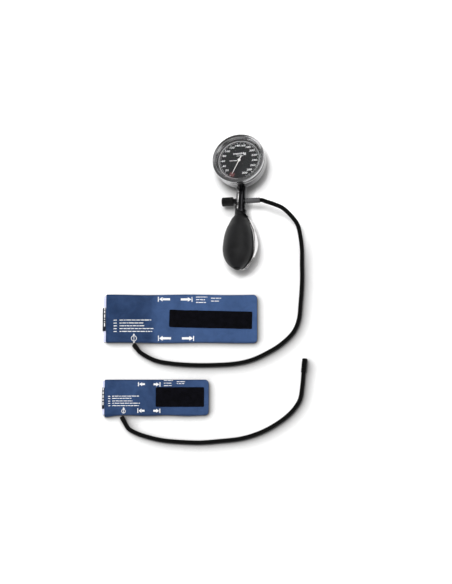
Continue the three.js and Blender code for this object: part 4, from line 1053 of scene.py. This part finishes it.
# %% The bulb and its intake valve
outside = [(bulb_radius(MOUTH + d), MOUTH + d) for d in np.linspace(0, BULB_LENGTH, 90)]
outside = [(6.5, MOUTH), (6.9, MOUTH + 0.1), *[(r, h) for r, h in outside if h > MOUTH + 0.4]]
inside = [(bulb_radius(MOUTH + d) - 2.2, MOUTH + d) for d in np.linspace(78, 18, 24)]
bulb_outline = [*outside, (4.0, 147.3), (4.0, 143.8), *inside, (4.7, 80.6), (4.7, 66.4), (6.5, 66.4)]
bulb_shape = turned(bulb_outline, "y", 128)
bulb = add_piece("squeeze_bulb_fine", bulb_shape, "bulb_rubber", ["squeeze_bulb"], sharp=60)
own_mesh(bulb)

intake_outline = [(1.2, 140.6), (3.7, 140.6), (3.7, 147.3), (5.0, 147.35), (3.6, 148.4), (1.2, 148.5)]
intake_shape = turned(eased(intake_outline, 0.3), "y", 64)
add_piece("intake_valve_fine", intake_shape, "seal_rubber", ["intake_valve_body"])
print("bulb", len(bulb.data.polygons), "faces")

# %% [markdown]
# ## Palm spoon
# A chromed sheet spoon lies behind the bulb and rests in the palm. It starts as a collar round the handle,
# is cut aslant and then follows the bulb, with a rolled lip that shows as the bright crescent on the right.

# %% The shape of the spoon
LIP_REACH = [
    # distance, how far the lip's edge stands off the bulb
    (62.7, 2.1), (70, 3.2), (75, 4.2), (88, 5.5), (103, 6.6), (114, 7.5), (123.4, 6.4), (134, 5.3),
    (140, 4.6), (146, 4.0),
]
SPOON_START, SPOON_LENGTH = 62.7, 83
WALL_SHARE = 0.72
KNEE = 0.45
THICKNESS = 0.8


def ray(angle):
    """The way at an angle in the plane of x and z."""
    return Vector((math.cos(angle), math.sin(angle)))


def spoon_point(rows, columns):
    """The wall follows the bulb; at its right edge it bends into a lip that lies nearly flat."""
    def point(row, column, far):
        down = (row / rows) ** 1.6
        distance = SPOON_START + down * SPOON_LENGTH
        free = smooth_step(distance, 77.7, 92.7)
        gap = 0.9 + 0.4 * free
        near = 6.0 + (bulb_radius(distance) + gap - 6.0) * smooth_step(distance, SPOON_START, 64.9)
        swing = smooth_step(distance, SPOON_START, 77.7)
        right = 185 - 97 * swing
        left = -70 + 50 * smooth_step(distance, SPOON_START, 71.7)
        closing = math.sqrt(max(0, 1 - max(0, (down - 0.8) / 0.204) ** 2.2))
        middle, half = (right + left) / 2, (right - left) / 2 * closing
        tip = max(0, (down - 0.9) / 0.1) ** 2
        thick = THICKNESS if far else 0.0
        along = column / columns
        if along <= WALL_SHARE:
            across = 2 * along / WALL_SHARE - 1
            edge = max(0, (-across - 0.6) / 0.4) ** 2 * free
            r = near + 1.5 * max(edge, tip) + thick
            angle = math.radians(middle + across * half)
            return (r * math.sin(angle), -distance, -r * math.cos(angle))
        angle = math.radians(middle + half)
        turn = (1 - smooth_step(angle, math.radians(95), math.radians(150))) * swing
        rise = angle + (math.radians(-25) - angle) * turn
        foot = (near + 1.5 * tip) * ray(angle - math.pi / 2)
        corner = foot + (1.5 * turn + 0.3) * ray(angle)
        t = (along - WALL_SHARE) / (1 - WALL_SHARE)
        if t < KNEE:
            t /= KNEE
            onto = corner + 1.2 * ray(rise)
            place = (1 - t) ** 2 * foot + 2 * t * (1 - t) * corner + t * t * onto
            course = (1 - t) * (corner - foot) + t * (onto - corner)
        else:
            t = (t - KNEE) / (1 - KNEE)
            wide = max(0.3, float(np.interp(distance, *zip(*LIP_REACH))) - gap - 0.5)
            rim = max(0, (t - 0.7) / 0.3)
            course = ray(rise - math.radians(60) * turn * rim)
            place = corner + (1.2 + max(0.3, wide - 1.6) * min(1, t / 0.7)) * ray(rise) + 0.5 * rim * course
        course.normalize()
        return (place.x + thick * course.y, -distance, place.y - thick * course.x)

    return point


print("spoon ends at", SPOON_START + SPOON_LENGTH, "mm")

# %% [markdown]
# ### The spoon
# The leaf and the collar that turns on the handle are one piece of the spoon's body.

# %% The spoon
leaf = gridded(96, 64, spoon_point(96, 64))
collar = turned(eased([(5.9, 59.4), (7.2, 59.4), (7.2, 64.7), (5.9, 64.7)], 0.3), "y", 96)
spoon = add_piece(
    "palm_spoon_fine", merged(leaf, collar), "handle_chrome", ["palm_spoon"], body="spoon",
    sharp=50,
)
print("spoon", len(spoon.data.polygons), "faces")

# %% [markdown]
# ## Cuffs
# Each cuff is two coated cloth panels welded round their edge with a thin bladder between them. Lying flat
# and empty it keeps a low crown over the bladder, a pressed rim along the weld and a few creases. The
# printed marks are thin layers that follow the cloth.

# %% Sizes of the cuffs
LARGE = {
    "name": "cuff", "x": -4.4, "y": -55.6, "length": 198, "width": 64.6, "corner": 5,
    "bladder": (-52, 1, 84, 54, 2.4), "strip": (38.3, -1.4, 108.5, 23.4, -1.3), "tab": (-0.8, 4, 31),
    "edge_width": 3.2,
    "creases": [
        # x, y, heading, length, width, height
        (20, 20, 82, 26, 2.2, 0.22), (46, -22, 95, 18, 2.0, 0.2), (70, 22, 88, 20, 1.6, 0.2),
        (86, -18, 84, 26, 2.0, 0.25), (8, -24, 100, 16, 2.4, 0.25), (-8, 16, 78, 30, 3.0, 0.3),
        (-30, -20, 30, 26, 2.4, 0.3), (-60, 18, 12, 34, 2.6, 0.3), (-84, -6, 70, 30, 2.4, 0.25),
        (-48, 4, 150, 30, 3.0, 0.25),
    ],
}
SMALL = {
    "name": "spare_cuff", "x": -36.4, "y": -161.3, "length": 135.3, "width": 47.4, "corner": 5,
    "bladder": (-32, 1, 62, 38, 2), "strip": (30.4, 0.3, 62.8, 26.0, 0), "tab": (-0.6, 3, 28),
    "edge_width": 2.4,
    "creases": [
        (-52, 14, 55, 18, 2.0, 0.3), (-40, 17, 120, 16, 1.8, 0.3), (-20, 16, 80, 14, 2.0, 0.2),
        (4, -17, 95, 12, 1.8, 0.2), (-58, -10, 40, 16, 2.0, 0.25), (52, 16, 85, 12, 1.6, 0.18),
    ],
}
print("cuffs", LARGE["length"], "and", SMALL["length"], "mm long")

# %% [markdown]
# ### The height of the cloth
# Cloth that lies on a table is never level. Its height is a sum: the crown over the bladder, the dip at the
# weld, a slow ripple from noise and the creases, each fading towards its ends.

# %% Height of the front cloth
def crease_height(cuff, x, y):
    """Soft ridges in the cloth, each a bent line that fades towards its ends."""
    height = 0
    for cx, cy, heading, length, width, rise in cuff["creases"]:
        turn = math.radians(heading)
        u = (x - cx) * math.cos(turn) + (y - cy) * math.sin(turn)
        v = (y - cy) * math.cos(turn) - (x - cx) * math.sin(turn) + 1.2 * math.sin(u / 7)
        height += rise * math.exp(-((v / width) ** 2)) * math.exp(-((2 * u / length) ** 4))
    return height


def front_top(cuff, x, y):
    """Height of the cuff's front cloth at a place in the cuff's own coordinates."""
    bx, by, bladder_length, bladder_width, rise = cuff["bladder"]
    s = min(1, abs(x - bx) / (bladder_length / 2 + 2))
    t = min(1, abs(y - by) / (bladder_width / 2 + 2))
    edge = min(cuff["length"] / 2 - abs(x), cuff["width"] / 2 - abs(y))
    calm = smooth_step(edge, 0, 6)
    ripple = 0.35 * noise.noise(Vector((x / 22, y / 14, cuff["length"])))
    ripple += 0.15 * noise.noise(Vector((x / 7, y / 8, 3)))
    seam = 0.6 * max(0, 1 - edge / 4) + 0.25 * math.exp(-(((edge - 3.4) / 0.7) ** 2))
    return 4.0 + rise * (1 - s**4) * (1 - t**4) - seam + calm * (ripple + 1.7 * crease_height(cuff, x, y))


print("crown", front_top(LARGE, -52, 1), front_top(SMALL, -32, 1))

# %% [markdown]
# ### Layers of cloth
# A layer is a grid of points over a rectangle with rounded ends, laid at the height of what it lies on. The
# cut edges are wavy, as cloth that has been welded and rolled is.

# %% Layers and their wavy edges
def cloth_grid(cuff, area, columns, rows, bottom, top, warp=None):
    """A layer of cloth with rounded corners; area is (x, y, length, width, corner, turn)."""
    ax, ay, length, width, corner, turn = area
    tilt = math.radians(turn)
    half = length / 2
    left_corner, right_corner = corner if isinstance(corner, tuple) else (corner, corner)
    sines = [math.sin(math.radians(90 * i / 6)) for i in range(7)]
    from_s, to_s = -half + left_corner, half - right_corner
    middle = [from_s + (to_s - from_s) * (i + 1) / columns for i in range(columns - 1)]
    left_end = [from_s - left_corner * share for share in reversed(sines)]
    stations = left_end + middle + [to_s + right_corner * share for share in sines]

    def point(row, column, far):
        s = stations[column]
        radius = left_corner if s < 0 else right_corner
        past = max(0, abs(s) - (half - radius))
        drop = radius - math.sqrt(max(0, radius**2 - past**2))
        share = 2 * row / rows - 1
        v = math.copysign(1 - (1 - abs(share)) ** 1.15, share) * (width / 2 - drop)
        x = ax + s * math.cos(tilt) - v * math.sin(tilt)
        y = ay + s * math.sin(tilt) + v * math.cos(tilt)
        z = (top if far else bottom)(x, y)
        if warp:
            x, y = warp(x, y)
        return (cuff["x"] + x, cuff["y"] + y, z)

    return gridded(rows, len(stations) - 1, point)


def small_warp(x, y):
    """The small cuff's lower edge is wavy and its left corner drawn out."""
    low = smooth_step(-y, 8, 23.7)
    corner = math.exp(-(((x + 66) / 9) ** 2))
    return x, y + low * (-1.6 * corner + 0.45 * math.sin(x / 8.5))


def large_warp(x, y):
    edge = smooth_step(abs(y), 20, 32)
    return x, y + edge * 0.35 * math.sin(x / 17 + (1 if y > 0 else 0))


print("small cuff's corner drawn out by", round(-23.7 - small_warp(-66, -23.7)[1], 2), "mm")

# %% [markdown]
# ### Both cuffs
# Each cuff has the same five pieces: front and back cloth, a strip of hook tape, a label tab and the pale cut
# edge of the cloth behind the tab.

# %% Cuff pieces
CLOTH_STEP, TAPE_STEP = 1.6, 1.2


def cuff_pieces(cuff, warp):
    """The front and back cloth, the hook tape, the label tab and the edge tape of a cuff."""
    length, width = cuff["length"], cuff["width"]

    def layer(part, area, columns, rows, bottom, top, material, node=None, warp=None):
        shape = cloth_grid(cuff, area, columns, rows, bottom, top, warp)
        nodes = [cuff["name"] + node] if node else ()
        return add_piece(cuff["name"] + part, shape, material, nodes, place=None, sharp=60)

    def over(height):
        return lambda x, y: front_top(cuff, x, y) + height

    def level(height):
        return lambda x, y: height

    def strip_top(x, y):
        return front_top(cuff, x, y) + 0.95 + 0.12 * noise.noise(Vector((x / 1.3, y / 1.3, 5)))

    panel = (0, 0, length, width, (1.6, cuff["corner"]), 0)
    front = layer(
        "_front_cloth", panel, round(length / CLOTH_STEP), round(width / CLOTH_STEP), over(-0.8), over(0),
        "cuff_cloth", "_front_panel", warp,
    )
    back = layer(
        "_back_cloth", panel, 24, 10, level(0.05), level(1.35), "cuff_cloth", "_back_panel",
        warp,
    )
    sx, sy, strip_length, strip_width, turn = cuff["strip"]
    strip = layer(
        "_hook_tape", (sx, sy, strip_length, strip_width, 1.5, turn), round(strip_length / TAPE_STEP),
        round(strip_width / TAPE_STEP), over(0.1), strip_top, "hook_cloth", "_hook_strip",
    )
    ty, tab_width, tab_height = cuff["tab"]
    tab = layer(
        "_tab_cloth", (-length / 2 - 0.3 - tab_width / 2, ty, tab_width, tab_height, 0.5, 0), 6, 30,
        level(1.0), lambda x, y: 2.2 + 0.15 * math.sin(y / 5), "tab_cloth", "_label_tab",
    )
    edge_area = (-length / 2 - 1.3, 0, cuff["edge_width"], width - 2.5, 0.4, 0)
    edge = layer("_edge_tape", edge_area, 3, 40, level(0.3), level(0.9), "edge_cloth")
    return front, back, strip, tab, edge


large_pieces = cuff_pieces(LARGE, large_warp)
small_pieces = cuff_pieces(SMALL, small_warp)
print("front panel", len(large_pieces[0].data.polygons), "faces")

# %% [markdown]
# ## Printed marks
# White ink shows the range within which a cuff fits: arrows that point at an index line, a ring where the
# artery lies, and lines of small print, drawn here as plain dashes. Everything is cut into short pieces, so
# that it can follow the cloth's height. The places were measured on the photograph, in its columns and rows.

# %% Helpers for the ink
INK_BOTTOM, INK_TOP = 0.1, 0.2
MM_PER_PIXEL = 1.316
MIDDLE_ROW = 276


def inked(cuff, x, y, height=INK_TOP):
    """A point of the ink at a place in the cuff's own coordinates."""
    return (cuff["x"] + x, cuff["y"] + y, front_top(cuff, x, y) + height)


def ink_box(cuff, x0, y0, x1, y1):
    """A rectangle of ink that follows the cloth."""
    columns = max(1, round(abs(x1 - x0) / 1.5))
    rows = max(1, round(abs(y1 - y0) / 1.5))

    def point(row, column, far):
        x = x0 + (x1 - x0) * column / columns
        y = y0 + (y1 - y0) * row / rows
        return inked(cuff, x, y, INK_TOP if far else INK_BOTTOM)

    return gridded(rows, columns, point)


def ink_shape(cuff, corners):
    """A filled outline of ink, its middle joined to its corners."""
    middle = [sum(values) / len(corners) for values in zip(*corners)]
    faces = [[0, i + 1, (i + 1) % len(corners) + 1] for i in range(len(corners))]
    return [inked(cuff, x, y) for x, y in (middle, *corners)], faces


def ink_ring(cuff, x, y, radius, width, steps=36):
    points, faces = [], []
    for i in range(steps):
        a = 2 * math.pi * i / steps
        for r in (radius - width / 2, radius + width / 2):
            points.append(inked(cuff, x + r * math.cos(a), y + r * math.sin(a)))
        j = (i + 1) % steps
        faces.append([2 * i, 2 * i + 1, 2 * j + 1, 2 * j])
    return points, faces


def cuff_x(cuff, u, v):
    """Place along x, in the cuff's coordinates, of a column in a row; lower rows are nearer and larger."""
    nearness = 1 + 0.000145 * (v - MIDDLE_ROW)
    return (226 + (u - 226) / nearness - 184.6) * MM_PER_PIXEL - 0.6 - cuff["x"]


def cuff_y(cuff, v, z=4.5):
    """Place along y, in the cuff's coordinates, of a row of the photograph at a height."""
    below = v - MIDDLE_ROW
    return (-(below - 0.0001 * below**2) * MM_PER_PIXEL - 0.259 * z) / 0.966 + 3.1 - cuff["y"]


def ink_arrow(cuff, u_bar, u_tail, v, tall):
    """An arrow that points at a bar: the bar at one column, the arrow's tail at another."""
    bar_x, tail_x = cuff_x(cuff, u_bar, v), cuff_x(cuff, u_tail, v)
    y = cuff_y(cuff, v)
    half = tall * 1.36 / 2
    way = 1 if bar_x > tail_x else -1
    tip = bar_x - way * 0.9
    head = tip - way * half * 1.35
    return merged(
        ink_box(cuff, bar_x - 0.55, y - half, bar_x + 0.55, y + half),
        ink_box(cuff, min(tail_x, head), y - half * 0.42, max(tail_x, head), y + half * 0.42),
        ink_shape(cuff, [(tip, y), (head, y + half * 0.92), (head, y - half * 0.92)]),
    )


def ink_line(cuff, u0, u1, v, seed, tall):
    """A line of small print as dashes as long as words."""
    bodies = []
    x, end, y = cuff_x(cuff, u0, v), cuff_x(cuff, u1, v), cuff_y(cuff, v)
    turn = seed
    while x < end - 0.8:
        turn = (turn * 7 + 3) % 11
        run = min(end - x, 2.0 + 0.45 * turn)
        bodies.append(ink_box(cuff, x, y - tall / 2, x + run, y + tall / 2))
        x += run + 0.75
    return merged(*bodies)


def artery_mark(cuff, u, v, size_u, both_ways):
    """A ring with a bar through it and a point above it, and one below it where the mark has both."""
    x, y = cuff_x(cuff, u, v), cuff_y(cuff, v)
    radius = size_u * MM_PER_PIXEL / 2
    bodies = [ink_ring(cuff, x, y, radius - 0.3, 0.7)]
    bodies.append(ink_box(cuff, x - 0.35, y - radius, x + 0.35, y + radius))
    for way in (1, -1) if both_ways else (1,):
        near, far = y + way * (radius + 0.5), y + way * (radius + 2.6)
        bodies.append(ink_shape(cuff, [(x, far), (x - way * 1.5, near), (x + way * 1.5, near)]))
    return merged(*bodies)


def tab_mark(cuff, y0, y1):
    """A dash of small print along the label tab."""
    left, low, high = cuff["x"] - cuff["length"] / 2 - 2.5, cuff["y"] + y0, cuff["y"] + y1
    return slab([(left, low), (left + 1.2, low), (left + 1.2, high), (left, high)], 2.3, 2.45)


print("a pixel is", MM_PER_PIXEL, "mm on the table")

# %% [markdown]
# ### The marks of both cuffs
# The two tables hold where each mark is seen in the photograph; one function draws either.

# %% Draw the marks
LARGE_MARKS = {
    # height; then each arrow's bar, tail and row
    "arrows": (
        5.0,
        [(158.3, 170, 299.3), (192.0, 180.7, 299.3), (158.3, 170.9, 338.3), (193.5, 181.8, 338.3)],
    ),
    "artery": (133.7, 338.3, 5.6, True),
    # column where the lines start, seed, height; then each line's row and the column where it ends
    "text": (119.4, 2, 1.0, [(320.4, 151.9), (323.3, 143.9), (326.1, 144.1), (328.9, 153.3), (331.7, 152.1)]),
    "codes": (113.4, 117.3, 5),
    # seed, height; then each line's row and columns
    "index": (
        4, 0.95,
        [(296.9, 196, 207.2), (299.6, 196, 205), (302.4, 196, 206), (298.1, 211.1, 221.1), (301, 211.1, 219)],
    ),
    "tab": ((-10.5, -5.5), (-4.5, -3.3), (-1.3, 0), (1.5, 6), (7.5, 11), (12, 16.5)),
}
SMALL_MARKS = {
    "arrows": (
        4.2,
        [(138.1, 144.6, 384.4), (159.7, 153.3, 384.4), (137.4, 144.1, 410.8), (159.5, 152.9, 410.8)],
    ),
    "artery": (123.1, 411.3, 4.0, False),
    "text": (111.7, 3, 0.85, [(396.4, 138.6), (398.6, 132), (401.2, 132), (403.5, 139.8), (405.9, 138.6)]),
    "codes": (107.6, 109.8, 4),
    "index": (
        5, 0.8,
        [
            (380.4, 163.6, 172.5), (383.1, 163.6, 171.5), (385.6, 163.6, 172), (381.6, 176.6, 185.2),
            (383.6, 176.6, 184),
        ],
    ),
    "tab": ((-10, -6), (-4.5, -2), (-0.5, 3), (4.5, 8), (9.5, 13)),
}


def cuff_print(cuff, marks):
    """All the ink of a cuff as one piece."""
    tall, arrows = marks["arrows"]
    bodies = [ink_arrow(cuff, *arrow, tall) for arrow in arrows]
    bodies.append(artery_mark(cuff, *marks["artery"]))
    start, seed, tall, lines = marks["text"]
    code_start, code_end, code_seed = marks["codes"]
    for i, (v, end) in enumerate(lines):
        bodies.append(ink_line(cuff, start, end, v, i + seed, tall))
        bodies.append(ink_line(cuff, code_start, code_end, v, code_seed, tall))
    seed, tall, lines = marks["index"]
    bodies += [ink_line(cuff, u0, u1, v, i + seed, tall) for i, (v, u0, u1) in enumerate(lines)]
    bodies += [tab_mark(cuff, *ends) for ends in marks["tab"]]
    return add_piece(cuff["name"] + "_print", merged(*bodies), "print_white", place=None)


large_print = cuff_print(LARGE, LARGE_MARKS)
small_print = cuff_print(SMALL, SMALL_MARKS)
print("prints", len(large_print.data.polygons) + len(small_print.data.polygons), "faces")

# %% [markdown]
# ## Hose ports
# A moulded rubber boot leads the hose out of the cuff's lower edge at a slant.

# %% Ports
def hose_port(name, node, end, way):
    outline = eased([(0.9, 0), (2.7, 0), (3.1, 1.2), (3.1, 3.0), (3.0, 6), (2.9, 9), (0.9, 9)], 0.4)
    place = laid(end - way * 9.3, way)
    return add_piece(name, turned(outline, "x", 48), "seal_rubber", [node], place=place)


cuff_port = hose_port("cuff_port_fine", "cuff_hose_port", CUFF_PORT, CUFF_PORT_WAY)
spare_port = hose_port("spare_port_fine", "spare_cuff_hose_port", SPARE_PORT, SPARE_PORT_WAY)
print("ports", cuff_port.name, spare_port.name)

# %% [markdown]
# ## What the soft pieces are
# The hoses are free cords and the panels are sheets laid on the table. Their true flat sizes are listed here.

LARGE_FLAT, SMALL_FLAT = (0.198, 0.0646), (0.1353, 0.0474)
for pieces, ink, flat in ((large_pieces, large_print, LARGE_FLAT), (small_pieces, small_print, SMALL_FLAT)):
    front, back, strip, tab, edge = pieces

# %% [markdown]
# ## Pieces kept from the CAD part
# The movement, the valve's inner parts and the nozzle are well enough described by the CAD part. They keep
# its meshes and get finishes.

# %% Dress the CAD nodes that stay
KEPT = {
    "brass": [
        "movement_base_plate", "movement_bridge", "pressure_capsule_lower", "pressure_capsule_upper",
        "sector_gear", "valve_seat_insert",
    ],
    "steel": ["capsule_button", "pinion_arbor", "hairspring", "valve_spindle", "hose_nipple", "bulb_nozzle"],
    "seal_rubber": ["window_gasket", "valve_tip_seal", "check_valve_disc", "intake_valve_flap"],
    "bladder_rubber": ["cuff_bladder", "spare_cuff_bladder"],
}
for material, names in KEPT.items():
    for name in names:
        cad[name].data.materials.clear()
        cad[name].data.materials.append(MATERIALS[material])
print(sum(len(names) for names in KEPT.values()), "CAD nodes keep their meshes")
